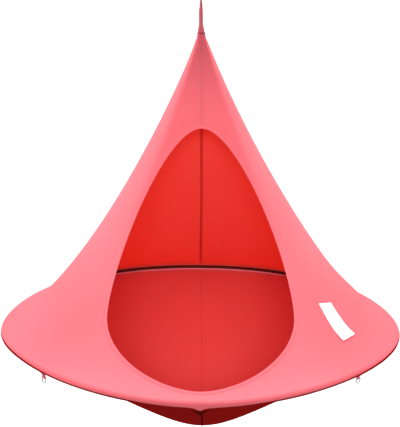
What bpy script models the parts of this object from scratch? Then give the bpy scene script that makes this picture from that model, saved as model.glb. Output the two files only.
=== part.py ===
"""A one-person hanging tent: a sewn cone and a slack floor on a round tube hoop, hung from a webbing loop.

Lengths are in metres and +Z is up. The origin is the point in the crown of the loop where the
tent hangs, and the doorway faces -Y. Heights named below are above the hoop's centre plane.
Places round the hoop are counted in stations: station 0 is the front, and they run towards +X.
"""

import math

import bmesh
import bpy
from mathutils import Vector

# Hoop of sleeved tube sections
HANG_HEIGHT = 1.200
HOOP_DIAMETER = 1.500
TUBE_DIAMETER = 0.025
TUBE_WALL = 0.0015
TUBE_SECTIONS = 8
SPIGOT_LENGTH = 0.110
SPIGOT_WALL = 0.0015
SPIGOT_CLEARANCE = 0.0004
SLEEVE_WALL = 0.0008
SLEEVE_CLEARANCE = 0.0005

# Cloth and the gaps between neighbouring solids
CLOTH = 0.0012
GAP = 0.0003
TAPE_GAP = 0.0005

# Canopy, from the gathered neck to where it lies on the sleeve
NECK_DROP = 0.130
NECK_RADIUS = 0.0172
NECK_SLOPE = math.radians(20.9)
NECK_PULL = 0.350
RIM_PULL = 0.252
RIM_LANDING = math.radians(17.4)

# Front of the canopy, drawn flat between two ridges above the doorway
RIDGE_ANGLE = math.radians(52.5)
FRONT_FLATNESS = 0.75
FLAT_FROM_HEIGHT = 0.300
FLAT_FULL_DROP = 0.400
ROUND_FROM_DROP = 0.280

# Doorway, as seen from the front
DOOR_TOP_DROP = 0.438
DOOR_BOTTOM = 0.0255
DOOR_HALF_WIDTH = 0.3125
DOOR_WIDEST_HEIGHT = 0.172
DOOR_TOP_PULL = 0.100
DOOR_SIDE_PULL_UP = 0.198
DOOR_SIDE_PULL_DOWN = 0.097
DOOR_BOTTOM_PULL = 0.1465
BINDING_WIDTH = 0.010
BINDING_CLOTH = 0.0008
BINDING_FIRST_ROW = 3
BINDING_ROW_TRIM = 0.2

# Floor
FLOOR_DEPTH = 0.407
FLOOR_ROUNDNESS = 0.163
FLOOR_POWER = 1.2

# Tapes and bands sewn inside
SEAM_TAPE_WIDTH = 0.008
SEAM_TAPE_FOOT = 0.024
SEAM_TAPE_ABOVE_BINDING = 0.006
FLOOR_TAPE_END_GAP = 0.004
TAPE_CLOTH = 0.0008
WALL_BAND_HEIGHT = 0.010
RIM_TAPE_WIDTH = 0.016

# Blank tag sewn on the right of the canopy
TAG_WIDTH = 0.072
TAG_LENGTH = 0.147
TAG_ANGLE = math.radians(54.3)
TAG_HEIGHT = 0.124
TAG_TILT = math.radians(8)
TAG_CLOTH = 0.0006

# Webbing loop
WEBBING_WIDTH = 0.025
WEBBING = 0.0022
EYE_WIDTH = 0.0074
EYE_HEIGHT = 0.026
LOOP_PIVOT_DROP = 0.040

# Cuff between the loop and the canopy, and the collar that the canopy is gathered on
CUFF_PIVOT_DROP = 0.112
CUFF_HALF_WIDTH = 0.0079
CUFF_FLARE_HALF_WIDTH = 0.0110
CUFF_CHEEK = 0.0015
CUFF_CHEEK_RISE = 0.012
CUFF_END_RADIUS = 0.0085
CUFF_FOOT_TAPER = 0.001
PIVOT_CLEARANCE = 0.0004
SWING_RELIEF = 0.002
COLLAR_TOP_RADIUS = 0.0138
COLLAR_CORE_RADIUS = 0.0135
COLLAR_CORE_LENGTH = 0.018
COLLAR_CORE_TAPER = 0.001

# D-rings under the hoop
RING_WIRE = 0.003
RING_WIDTH = 0.024
RING_LEG = 0.004
RING_CHAMFER = 0.002
RING_CLEARANCE = 0.0004
RING_ANGLES = {"front_right": 45, "back_right": 135, "back_left": 225, "front_left": 315}
TAB_WEBBING = 0.0012
TAB_WIDTH = 0.014
TAB_FROM = math.radians(-112)
TAB_TO = math.radians(-30)

# Facets
STATIONS = 48
QUARTER = STATIONS // 4
CANOPY_ROWS = 16
FLOOR_ROWS = 8
TUBE_SIDES = 8
SHARP_ANGLE = math.radians(35)

# Worked out from the sizes above
STEP = 2 * math.pi / STATIONS
SLEEVE_BORE = TUBE_DIAMETER / 2 + SLEEVE_CLEARANCE
SLEEVE_RADIUS = SLEEVE_BORE + SLEEVE_WALL
HOOP_RADIUS = HOOP_DIAMETER / 2 - SLEEVE_RADIUS
FACET_LENGTH = HOOP_RADIUS * STEP
LANDING_RADIUS = SLEEVE_RADIUS * math.cos(RIM_LANDING) + GAP + CLOTH
FLOOR_EDGE = HOOP_RADIUS - (SLEEVE_RADIUS + GAP) * math.cos(math.pi / TUBE_SIDES)
NECK_HEIGHT = HANG_HEIGHT - NECK_DROP
FLAT_FULL_HEIGHT = HANG_HEIGHT - FLAT_FULL_DROP
DOOR_TOP = HANG_HEIGHT - DOOR_TOP_DROP
RING_BAR_DROP = SLEEVE_RADIUS + GAP + TAB_WEBBING + RING_CLEARANCE + RING_WIRE / 2

COLOURS = {
    "canopy_fabric": ((0.93, 0.24, 0.27, 1), 0.75, 0.0),
    "floor_fabric": ((0.55, 0.06, 0.06, 1), 0.8, 0.0),
    "seam_tape": ((0.62, 0.06, 0.07, 1), 0.8, 0.0),
    "black_tape": ((0.02, 0.02, 0.02, 1), 0.8, 0.0),
    "webbing": ((0.66, 0.16, 0.19, 1), 0.7, 0.0),
    "white_tag": ((0.9, 0.9, 0.88, 1), 0.6, 0.0),
    "hoop_tube": ((0.8, 0.8, 0.82, 1), 0.35, 1.0),
    "ring_steel": ((0.75, 0.76, 0.78, 1), 0.25, 1.0),
}


def material(slot):
    """The material of that name, made when it is first asked for."""
    found = bpy.data.materials.get(slot)
    if found:
        return found
    colour, roughness, metallic = COLOURS[slot]
    made = bpy.data.materials.new(slot)
    made.use_nodes = True
    shader = made.node_tree.nodes["Principled BSDF"]
    shader.inputs["Base Color"].default_value = colour
    shader.inputs["Roughness"].default_value = roughness
    shader.inputs["Metallic"].default_value = metallic
    return made


def empty(name, place, parent=None):
    """An empty at a place in its parent's space."""
    made = bpy.data.objects.new(name, None)
    made.location = place
    made.parent = parent
    bpy.context.scene.collection.objects.link(made)
    return made


def piece(name, mesh, slot, parent):
    """The object that shows a mesh, in its parent's space."""
    made = bpy.data.objects.new(name, mesh)
    made.parent = parent
    if not mesh.materials:
        mesh.materials.append(material(slot))
    mesh.shade_smooth()
    mesh.set_sharp_from_angle(angle=SHARP_ANGLE)
    bpy.context.scene.collection.objects.link(made)
    return made


def cutter(name, mesh, parent):
    """An object that only shapes others."""
    made = bpy.data.objects.new(name, mesh)
    made.parent = parent
    made.hide_render = True
    made.display_type = "WIRE"
    bpy.context.scene.collection.objects.link(made)
    return made


def cut(target, tool, operation="DIFFERENCE"):
    """Shapes the target with a cutter."""
    boolean = target.modifiers.new(tool.name, "BOOLEAN")
    boolean.operation = operation
    boolean.object = tool
    boolean.solver = "EXACT"


def to_mesh(name, build):
    """The mesh of a bmesh in triangles, with coincident points merged and its faces pointing out."""
    bmesh.ops.triangulate(build, faces=build.faces, quad_method="FIXED")
    bmesh.ops.remove_doubles(build, verts=build.verts, dist=0.000001)
    bmesh.ops.recalc_face_normals(build, faces=build.faces)
    mesh = bpy.data.meshes.new(name)
    build.to_mesh(mesh)
    build.free()
    return mesh


def slab(name, upper, lower, ring=False):
    """The closed solid between two grids of points. A ring's last column meets its first."""
    build = bmesh.new()
    layers = [[[build.verts.new(p) for p in column] for column in grid] for grid in (upper, lower)]
    columns = len(upper)
    rows = len(upper[0])
    spans = [(c, (c + 1) % columns) for c in range(columns if ring else columns - 1)]
    for layer in layers:
        for c, d in spans:
            for r in range(rows - 1):
                build.faces.new((layer[c][r], layer[d][r], layer[d][r + 1], layer[c][r + 1]))
    top, bottom = layers
    for c, d in spans:
        for r in (0, rows - 1):
            build.faces.new((top[c][r], top[d][r], bottom[d][r], bottom[c][r]))
    if not ring:
        for c in (0, columns - 1):
            for r in range(rows - 1):
                build.faces.new((top[c][r], top[c][r + 1], bottom[c][r + 1], bottom[c][r]))
    return to_mesh(name, build)


def plate(name, loops, low, high, place):
    """A flat outline with holes, given as loops of pairs, and run from low to high. place turns
    (across, up, along) into a point."""
    build = bmesh.new()
    edges = []
    for loop in loops:
        corners = [build.verts.new(place(across, up, low)) for across, up in loop]
        edges += [build.edges.new(pair) for pair in zip(corners, corners[1:] + corners[:1])]
    bmesh.ops.triangle_fill(build, edges=edges, use_beauty=True)
    run = bmesh.ops.extrude_face_region(build, geom=build.faces[:])
    moved = [v for v in run["geom"] if isinstance(v, bmesh.types.BMVert)]
    bmesh.ops.translate(build, verts=moved, vec=place(0, 0, high) - place(0, 0, low))
    return to_mesh(name, build)


def along_y(across, up, along):
    return Vector((across, along, up))


def along_x(across, up, along):
    return Vector((along, across, up))


def arc(centre, radius, start, end, steps):
    """Points on a circle in a plane, from one angle to another."""
    turn = (end - start) / steps
    angles = [start + turn * i for i in range(steps + 1)]
    return [(centre[0] + radius * math.cos(a), centre[1] + radius * math.sin(a)) for a in angles]


def bezier(points, share):
    """A point on the cubic curve with those four control points."""
    a, b, c, d = points
    s = 1 - share
    return s**3 * a + 3 * s**2 * share * b + 3 * s * share**2 * c + share**3 * d


def smooth_step(low, high, value):
    share = min(1.0, max(0.0, (value - low) / (high - low)))
    return share * share * (3 - 2 * share)


def around(station, radius, height):
    """A point on the faceted circle of that radius, also between two stations."""
    whole = math.floor(station)
    ends = []
    for angle in (whole * STEP, (whole + 1) * STEP):
        ends.append(Vector((radius * math.sin(angle), -radius * math.cos(angle), height)))
    return ends[0].lerp(ends[1], station - whole)


def canopy_curve():
    """Control points of the canopy's outline, as (radius, height)."""
    neck = Vector((NECK_RADIUS, NECK_HEIGHT))
    landing = Vector((math.sin(RIM_LANDING), math.cos(RIM_LANDING)))
    rim = Vector((HOOP_RADIUS, 0)) + LANDING_RADIUS * landing
    below_neck = neck + NECK_PULL * Vector((math.sin(NECK_SLOPE), -math.cos(NECK_SLOPE)))
    before_rim = rim + RIM_PULL * Vector((-landing.y, landing.x))
    return neck, below_neck, before_rim, rim


def canopy_row(row, depth):
    """(radius, height) of a whole row of the canopy, at a depth below its outer face."""
    share = row / CANOPY_ROWS
    tiny = 0.001
    curve = canopy_curve()
    run = bezier(curve, min(1, share + tiny)) - bezier(curve, max(0, share - tiny))
    outward = Vector((-run.y, run.x)).normalized()
    return bezier(curve, share) - depth * outward


def front_draw(station, height):
    """How far the front is drawn in towards a flat facet, as a factor on the radius."""
    angle = abs((station + STATIONS / 2) % STATIONS - STATIONS / 2) * STEP
    if angle >= RIDGE_ANGLE:
        return 1.0
    flat = math.cos(RIDGE_ANGLE) / math.cos(angle)
    share = FRONT_FLATNESS * smooth_step(FLAT_FROM_HEIGHT, FLAT_FULL_HEIGHT, height)
    share *= 1 - smooth_step(HANG_HEIGHT - ROUND_FROM_DROP, NECK_HEIGHT - NECK_RADIUS, height)
    return 1 + share * (flat - 1)


def canopy_point(station, row, depth=0.0):
    """A point of the faceted canopy, also between stations and rows."""
    first_station = math.floor(station)
    first_row = min(math.floor(row), CANOPY_ROWS - 1)
    sides = []
    for s in (first_station, first_station + 1):
        ends = []
        for r in (first_row, first_row + 1):
            radius, height = canopy_row(r, depth)
            ends.append(around(s, radius * front_draw(s, height), height))
        sides.append(ends[0].lerp(ends[1], row - first_row))
    return sides[0].lerp(sides[1], station - first_station)


def canopy_row_at(height):
    """The row, whole and part, where the canopy's outer face has that height."""
    low, high = 0.0, float(CANOPY_ROWS)
    for _ in range(40):
        middle = (low + high) / 2
        if canopy_point(0, middle).z > height:
            low = middle
        else:
            high = middle
    return (low + high) / 2


def canopy_station_at(across, row):
    """The station on the front where the canopy's outer face lies that far to the side."""
    low, high = -float(QUARTER), float(QUARTER)
    for _ in range(40):
        middle = (low + high) / 2
        if canopy_point(middle, row).x < across:
            low = middle
        else:
            high = middle
    return (low + high) / 2


def canopy_frame(station, row):
    """A point of the outer face, with the way out, the way round and the way down there."""
    reach = 0.25
    point = canopy_point(station, row)
    round_way = canopy_point(station + reach, row) - canopy_point(station - reach, row)
    lower = canopy_point(station, min(CANOPY_ROWS, row + reach))
    down_way = lower - canopy_point(station, max(0, row - reach))
    outward = down_way.cross(round_way).normalized()
    return point, outward, round_way.normalized(), down_way.normalized()


def canopy_skin(name, stations, rows, outer, inner):
    """A sheet of canopy between two depths, over runs of stations and rows."""
    grids = [[[canopy_point(s, r, depth) for r in rows] for s in stations] for depth in (outer, inner)]
    return slab(name, *grids)


def floor_height(radius):
    """Height of the floor's upper face."""
    full = math.hypot(HOOP_RADIUS, FLOOR_ROUNDNESS) - FLOOR_ROUNDNESS
    share = (math.hypot(radius, FLOOR_ROUNDNESS) - FLOOR_ROUNDNESS) / full
    return -FLOOR_DEPTH * (1 - min(1, share)) ** FLOOR_POWER


def floor_radius(row):
    """Radius of a row of the floor."""
    return FLOOR_EDGE * row / FLOOR_ROWS


def floor_point(station, row, depth=0.0):
    """A point of the faceted floor, also between stations and rows."""
    first = min(math.floor(row), FLOOR_ROWS - 1)
    ends = []
    for r in (first, first + 1):
        radius = floor_radius(r)
        ends.append(around(station, radius, floor_height(radius) - depth))
    return ends[0].lerp(ends[1], row - first)


def tube(name, stations, outer, inner):
    """A hollow tube along the hoop, mitred at each station. Stations may be whole or part."""
    angles = [2 * math.pi * k / TUBE_SIDES for k in range(TUBE_SIDES)]
    grids = []
    for size in (outer, inner):
        section = [(HOOP_RADIUS + size * math.cos(a), size * math.sin(a)) for a in angles]
        grids.append([[around(s, radius, height) for s in stations] for radius, height in section])
    return slab(name, *grids, ring=True)


def run_of_stations(start, end, trim=0.0):
    """Whole stations from start to end, with both ends drawn in by a length in metres."""
    part = trim / FACET_LENGTH
    inner = [s for s in range(math.floor(start), math.ceil(end) + 1) if start + part < s < end - part]
    return [start + part, *inner, end - part]


def canopy_gore(name, quarter, parent):
    """One quarter of the canopy, cut between two seams."""
    grids = []
    for depth in (0.0, CLOTH):
        grid = []
        for s in range(quarter * QUARTER, (quarter + 1) * QUARTER + 1):
            column = [canopy_point(s, r, depth) for r in range(CANOPY_ROWS + 1)]
            grid.append([clear_of_seams(p, quarter) for p in column])
        grids.append(grid)
    return piece(name, slab(name, *grids), "canopy_fabric", parent)


def clear_of_seams(point, quarter):
    """Keeps a point of a quarter half a gap away from the seam planes."""
    right = quarter in (0, 1)
    front = quarter in (0, 3)
    x = max(point.x, GAP / 2) if right else min(point.x, -GAP / 2)
    y = min(point.y, -GAP / 2) if front else max(point.y, GAP / 2)
    return Vector((x, y, point.z))


def door_outline():
    """Points round the doorway as seen from the front, anticlockwise from the bottom."""
    top = Vector((0, DOOR_TOP))
    side = Vector((DOOR_HALF_WIDTH, DOOR_WIDEST_HEIGHT))
    bottom = Vector((0, DOOR_BOTTOM))
    lower = (
        bottom,
        bottom + Vector((DOOR_BOTTOM_PULL, 0)),
        side - Vector((0, DOOR_SIDE_PULL_DOWN)),
        side,
    )
    upper = (
        side,
        side + Vector((0, DOOR_SIDE_PULL_UP)),
        top + Vector((DOOR_TOP_PULL, 0)),
        top,
    )
    lower_steps, upper_steps = 8, 14
    right = [bezier(lower, i / lower_steps) for i in range(lower_steps)]
    right += [bezier(upper, i / upper_steps) for i in range(upper_steps)]
    left = [Vector((-p.x, p.y)) for p in reversed(right[1:])]
    return [*right, top, *left]


def door_cutter(name, widen, parent):
    """A solid through the doorway whose sides stand square to the cloth. Its outline lies
    outside the doorway by a length measured along the cloth."""
    reach = 0.020
    centre_height = (DOOR_TOP + DOOR_BOTTOM) / 2
    in_front, inside = -1.4 * HOOP_RADIUS, 0.2 * HOOP_RADIUS
    outline = door_outline()
    frames = []
    for across, height in outline:
        row = canopy_row_at(height)
        frames.append(canopy_frame(canopy_station_at(across, row), row))
    loops = ([], [])
    for i, (point, outward, _, _) in enumerate(frames):
        ahead = frames[(i + 1) % len(frames)][0] - frames[i - 1][0]
        away = ahead.cross(outward).normalized()
        edge = point + widen * away
        loops[0].append(edge + reach * outward)
        loops[1].append(edge - reach * outward)
    build = bmesh.new()
    rims = [[build.verts.new(p) for p in loop] for loop in loops]
    peaks = [build.verts.new((0, y, centre_height)) for y in (in_front, inside)]
    count = len(outline)
    for i in range(count):
        j = (i + 1) % count
        build.faces.new((rims[0][i], rims[0][j], rims[1][j], rims[1][i]))
        for rim, peak in zip(rims, peaks):
            build.faces.new((rim[i], rim[j], peak))
    return cutter(name, to_mesh(name, build), parent)


def make_canopy(parent):
    """Four gores, the front two cut away at the doorway."""
    opening = door_cutter("doorway_cutter", 0.0, parent)
    names = ("canopy_front_right", "canopy_back_right", "canopy_back_left", "canopy_front_left")
    for quarter, name in enumerate(names):
        gore = canopy_gore(name, quarter, parent)
        if quarter in (0, 3):
            cut(gore, opening)


def make_door_binding(parent):
    """A folded tape that grips the cut edge of the doorway on both faces."""
    stations = range(-QUARTER + 1, QUARTER)
    rows = [*range(BINDING_FIRST_ROW, CANOPY_ROWS), CANOPY_ROWS - BINDING_ROW_TRIM]
    skin = GAP + BINDING_CLOTH
    tape = canopy_skin("door_binding", stations, rows, -skin, CLOTH + skin)
    binding = piece("door_binding", tape, "canopy_fabric", parent)
    wider = range(-QUARTER, QUARTER + 1)
    taller = range(BINDING_FIRST_ROW - 1, CANOPY_ROWS + 1)
    room = cutter("binding_room", canopy_skin("binding_room", wider, taller, -GAP, CLOTH + GAP), parent)
    cut(room, door_cutter("binding_room_edge", -GAP, parent))
    cut(binding, door_cutter("binding_outer_edge", BINDING_WIDTH, parent), "INTERSECT")
    cut(binding, door_cutter("binding_inner_edge", -skin, parent))
    cut(binding, room)


def make_floor(parent):
    """Two halves of the slack floor, joined by a seam from front to back."""
    for name, side in (("floor_right", 1), ("floor_left", -1)):
        grids = []
        for depth in (0.0, CLOTH):
            grid = []
            for s in range(STATIONS // 2 + 1):
                column = [floor_point(side * s, r, depth) for r in range(FLOOR_ROWS + 1)]
                grid.append([Vector((side * max(side * p.x, GAP / 2), p.y, p.z)) for p in column])
            grids.append(grid)
        piece(name, slab(name, *grids), "floor_fabric", parent)


def make_floor_seam_tape(parent):
    """The tape on the floor's centre seam, from the back rim to the front rim."""
    half = SEAM_TAPE_WIDTH / 2
    ends = FLOOR_EDGE - RIM_TAPE_WIDTH - FLOOR_TAPE_END_GAP
    reaches = [floor_radius(r) for r in range(1, FLOOR_ROWS)] + [ends]
    places = [-y for y in reversed(reaches)] + [0.0] + reaches
    grids = []
    for lift in (TAPE_GAP + TAPE_CLOTH, TAPE_GAP):
        grid = []
        for x in (-half, 0, half):
            rows = [math.hypot(x, y) / FLOOR_EDGE * FLOOR_ROWS for y in places]
            grid.append([Vector((x, y, floor_point(0, r).z + lift)) for y, r in zip(places, rows)])
        grids.append(grid)
    piece("floor_seam_tape", slab("floor_seam_tape", *grids), "seam_tape", parent)


def make_seam_tape(name, station, last_row, parent):
    """The tape inside one seam of the canopy, from the neck down to a row."""
    depths = (CLOTH + TAPE_GAP, CLOTH + TAPE_GAP + TAPE_CLOTH)
    rows = [*range(math.ceil(last_row)), last_row]
    grids = ([], [])
    for side in (-1, 0, 1):
        for grid, depth in zip(grids, depths):
            column = []
            for r in rows:
                centre = canopy_point(station, r, depth)
                per_station = math.hypot(centre.x, centre.y) * STEP
                shift = side * SEAM_TAPE_WIDTH / 2 / per_station
                column.append(canopy_point(station + shift, r, depth))
            grid.append(column)
    piece(name, slab(name, *grids), "seam_tape", parent)


def make_seam_tapes(parent):
    """Tapes inside the four seams. The front one stops above the doorway."""
    lowest = canopy_row_at(SEAM_TAPE_FOOT)
    above_door = canopy_row_at(DOOR_TOP + BINDING_WIDTH + SEAM_TAPE_ABOVE_BINDING)
    tapes = (("front", above_door), ("right", lowest), ("back", lowest), ("left", lowest))
    for quarter, (side, last_row) in enumerate(tapes):
        make_seam_tape(f"seam_tape_{side}", quarter * QUARTER, last_row, parent)


def make_wall_band(parent):
    """The black band inside the hoop, where wall and floor are joined."""
    outer = HOOP_RADIUS - SLEEVE_RADIUS - GAP
    low = floor_height(FLOOR_EDGE) + 2 * GAP
    grids = []
    for radius in (outer, outer - TAPE_CLOTH):
        heights = (low, low + WALL_BAND_HEIGHT)
        grids.append([[around(s, radius, z) for z in heights] for s in range(STATIONS)])
    piece("wall_band", slab("wall_band", *grids, ring=True), "black_tape", parent)


def make_rim_tape(parent):
    """The red tape stitched round the floor just inside the black band."""
    outer = HOOP_RADIUS - SLEEVE_RADIUS - 2 * GAP - TAPE_CLOTH
    grids = []
    for lift in (GAP + TAPE_CLOTH, GAP):
        grid = []
        for s in range(STATIONS):
            rows = [radius / FLOOR_EDGE * FLOOR_ROWS for radius in (outer - RIM_TAPE_WIDTH, outer)]
            grid.append([floor_point(s, r, -lift) for r in rows])
        grids.append(grid)
    piece("floor_rim_tape", slab("floor_rim_tape", *grids, ring=True), "seam_tape", parent)


def make_hoop(parent):
    """Tube sections end to end, with a spigot inside each joint, in a sleeve of four quarters."""
    per_section = STATIONS / TUBE_SECTIONS
    bore = TUBE_DIAMETER / 2 - TUBE_WALL
    spigot = bore - SPIGOT_CLEARANCE
    half_spigot = SPIGOT_LENGTH / 2 / FACET_LENGTH
    for i in range(TUBE_SECTIONS):
        start = (i + 0.5) * per_section
        name = f"hoop_tube_{i + 1}"
        stations = run_of_stations(start, start + per_section, GAP / 2)
        piece(name, tube(name, stations, TUBE_DIAMETER / 2, bore), "hoop_tube", parent)
        name = f"hoop_spigot_{i + 1}"
        stations = run_of_stations(start - half_spigot, start + half_spigot)
        piece(name, tube(name, stations, spigot, spigot - SPIGOT_WALL), "hoop_tube", parent)
    sides = ("front_right", "back_right", "back_left", "front_left")
    for quarter, side in enumerate(sides):
        name = f"hoop_sleeve_{side}"
        stations = run_of_stations(quarter * QUARTER, (quarter + 1) * QUARTER, GAP / 2)
        piece(name, tube(name, stations, SLEEVE_RADIUS, SLEEVE_BORE), "canopy_fabric", parent)


def make_tag(parent):
    """The bare tag sewn on the canopy, right of the doorway."""
    row = canopy_row_at(TAG_HEIGHT)
    station = TAG_ANGLE / STEP
    centre, _, round_way, down_way = canopy_frame(station, row)
    across = math.cos(TAG_TILT) * round_way + math.sin(TAG_TILT) * down_way
    along = math.cos(TAG_TILT) * down_way - math.sin(TAG_TILT) * round_way
    corners = []
    for u, v in ((-1, -1), (1, -1), (1, 1), (-1, 1)):
        corner = centre + u * TAG_WIDTH / 2 * across + v * TAG_LENGTH / 2 * along
        corners.append((corner.x, corner.z))
    stations = range(math.floor(station) - 2, math.floor(station) + 4)
    rows = range(math.floor(row) - 2, CANOPY_ROWS + 1)
    skin = canopy_skin("blank_tag", stations, rows, -GAP - TAG_CLOTH, -GAP)
    tag = piece("blank_tag", skin, "white_tag", parent)
    outline = plate("tag_outline", [corners], -HOOP_RADIUS, 0.0, along_y)
    cut(tag, cutter("tag_outline", outline, parent), "INTERSECT")


def make_loop(parent):
    """The webbing loop, round the lug or hook that it hangs on. Its lower end is round."""
    eye = EYE_WIDTH / 2
    outer = eye + WEBBING
    crown = -eye
    eye_foot = -EYE_HEIGHT + eye
    steps = 8
    outside = arc((0, crown), outer, 0, math.pi, steps)
    outside += arc((0, -LOOP_PIVOT_DROP), outer, math.pi, 2 * math.pi, steps)
    inside = arc((0, crown), eye, 0, math.pi, steps)
    inside += arc((0, eye_foot), eye, math.pi, 2 * math.pi, steps)
    half = WEBBING_WIDTH / 2
    mesh = plate("hanging_loop", [outside, inside], -half, half, along_y)
    piece("hanging_loop", mesh, "webbing", parent)


def make_cuff(parent):
    """The sewn cuff that takes the loop's end above and ends in a round foot across X."""
    loop_radius = EYE_WIDTH / 2 + WEBBING + PIVOT_CLEARANCE
    loop_pivot = CUFF_PIVOT_DROP - LOOP_PIVOT_DROP
    room = WEBBING_WIDTH / 2 + PIVOT_CLEARANCE
    wide = room + CUFF_CHEEK
    top = loop_pivot + CUFF_CHEEK_RISE
    shoulder = 2 * CUFF_END_RADIUS
    side_view = arc((0, 0), CUFF_END_RADIUS, math.pi, 2 * math.pi, 10)
    side_view += [(wide, shoulder), (wide, top), (-wide, top), (-wide, shoulder)]
    reach = CUFF_FLARE_HALF_WIDTH
    mesh = plate("neck_cuff", [side_view], -reach, reach, along_x)
    cuff = piece("neck_cuff", mesh, "webbing", parent)
    waist = shoulder + CUFF_END_RADIUS
    narrow = CUFF_HALF_WIDTH
    foot = reach - CUFF_FOOT_TAPER
    front_view = [
        (-reach, 0),
        (-foot, -2 * CUFF_END_RADIUS),
        (foot, -2 * CUFF_END_RADIUS),
        (reach, 0),
        (reach, CUFF_END_RADIUS),
        (narrow, waist),
        (narrow, 2 * top),
        (-narrow, 2 * top),
        (-narrow, waist),
        (-reach, CUFF_END_RADIUS),
    ]
    outline = cutter("cuff_outline", plate("cuff_outline", [front_view], -2 * wide, 2 * wide, along_y), parent)
    cut(cuff, outline, "INTERSECT")
    dip = math.asin(SWING_RELIEF / loop_radius)
    mouth = arc((0, loop_pivot), loop_radius, math.pi + dip, 2 * math.pi - dip, 8)
    level = loop_pivot - SWING_RELIEF
    clear = 3 * reach
    mouth += [(clear, level), (clear, 2 * top), (-clear, 2 * top), (-clear, level)]
    cut(cuff, cutter("cuff_mouth", plate("cuff_mouth", [mouth], -room, room, along_y), parent))


def make_collar(parent):
    """The collar that the canopy is gathered on: a turned ring with a core below and a round
    groove across X, where the cuff's foot sits."""
    top = HANG_HEIGHT - CUFF_PIVOT_DROP - SWING_RELIEF
    foot = NECK_HEIGHT + GAP
    steps = 24
    profile = [
        (0, foot - COLLAR_CORE_LENGTH),
        (COLLAR_CORE_RADIUS - COLLAR_CORE_TAPER, foot - COLLAR_CORE_LENGTH),
        (COLLAR_CORE_RADIUS, foot),
        (NECK_RADIUS, foot),
        (COLLAR_TOP_RADIUS, top),
        (0, top),
    ]
    build = bmesh.new()
    corners = [build.verts.new((radius, 0, height)) for radius, height in profile]
    edges = [build.edges.new(pair) for pair in zip(corners, corners[1:])]
    bmesh.ops.spin(
        build, geom=corners + edges, cent=(0, 0, 0), axis=(0, 0, 1), angle=2 * math.pi, steps=steps
    )
    collar = piece("gather_collar", to_mesh("gather_collar", build), "webbing", parent)
    radius = CUFF_END_RADIUS + PIVOT_CLEARANCE
    pivot = HANG_HEIGHT - CUFF_PIVOT_DROP
    round_bar = arc((0, pivot), radius, 0, 2 * math.pi, 24)[:-1]
    reach = 2 * NECK_RADIUS
    cut(collar, cutter("collar_groove", plate("collar_groove", [round_bar], -reach, reach, along_x), parent))


def ring_mesh():
    """A D-ring of round wire. Its straight bar lies along X through the origin."""
    half = (RING_WIDTH - RING_WIRE) / 2
    path = [(half - RING_CHAMFER, 0), (half, -RING_CHAMFER)]
    path += arc((0, -RING_LEG - RING_CHAMFER), half, 0, -math.pi, 8)
    path += [(-half, -RING_CHAMFER), (-half + RING_CHAMFER, 0)]
    path = [Vector(p) for p in path]
    sides = 6
    grid = []
    for i, here in enumerate(path):
        before = (here - path[i - 1]).normalized()
        after = (path[(i + 1) % len(path)] - here).normalized()
        ahead = (before + after).normalized()
        stretch = 1 / max(0.5, ahead.dot(after))
        outward = Vector((ahead.y, -ahead.x)) * stretch
        column = []
        for k in range(sides):
            angle = 2 * math.pi * (k + 0.5) / sides
            shift = outward * math.cos(angle) * RING_WIRE / 2
            column.append(Vector((here.x + shift.x, RING_WIRE / 2 * math.sin(angle), here.y + shift.y)))
        grid.append(column)
    build = bmesh.new()
    wire = [[build.verts.new(p) for p in column] for column in grid]
    for i in range(len(wire)):
        here, there = wire[i], wire[(i + 1) % len(wire)]
        for k in range(sides):
            m = (k + 1) % sides
            build.faces.new((here[k], here[m], there[m], there[k]))
    return to_mesh("d_ring", build)


def tab_mesh():
    """The webbing tab that holds a D-ring's bar: a pad under the sleeve and an eye below it.
    The hoop's centreline passes through the origin along X, and -Y is away from the tent."""
    inner = SLEEVE_RADIUS + GAP
    outer = inner + TAB_WEBBING
    eye = RING_WIRE / 2 + RING_CLEARANCE
    shell = eye + TAB_WEBBING
    drop = RING_BAR_DROP
    meet_height = -(outer**2 + drop**2 - shell**2) / (2 * drop)
    meet_across = math.sqrt(outer**2 - meet_height**2)
    on_pad = math.atan2(meet_height, meet_across)
    on_eye = math.atan2(meet_height + drop, meet_across)
    outline = arc((0, 0), inner, TAB_FROM, TAB_TO, 8)
    outline += arc((0, 0), outer, TAB_TO, on_pad, 5)
    outline += arc((0, -drop), shell, on_eye, -math.pi - on_eye, 8)[1:-1]
    outline += arc((0, 0), outer, -math.pi - on_pad, TAB_FROM, 2)
    hole = arc((0, -drop), eye, 0, 2 * math.pi, 8)[:-1]
    loops = [[(-across, up) for across, up in loop] for loop in (outline, hole)]
    return plate("ring_tab", loops, -TAB_WIDTH / 2, TAB_WIDTH / 2, along_x)


def make_rings(parent):
    """Four D-rings, each on its tab, spaced evenly under the hoop."""
    ring = ring_mesh()
    tab = tab_mesh()
    for side, degrees in RING_ANGLES.items():
        angle = math.radians(degrees)
        place = Vector((HOOP_RADIUS * math.sin(angle), -HOOP_RADIUS * math.cos(angle), 0))
        seat = empty(f"ring_seat_{side}", place, parent)
        seat.rotation_euler = (0, 0, angle)
        piece(f"ring_tab_{side}", tab, "webbing", seat)
        hanging = piece(f"d_ring_{side}", ring, "ring_steel", seat)
        hanging.location = (0, 0, -RING_BAR_DROP)


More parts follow.
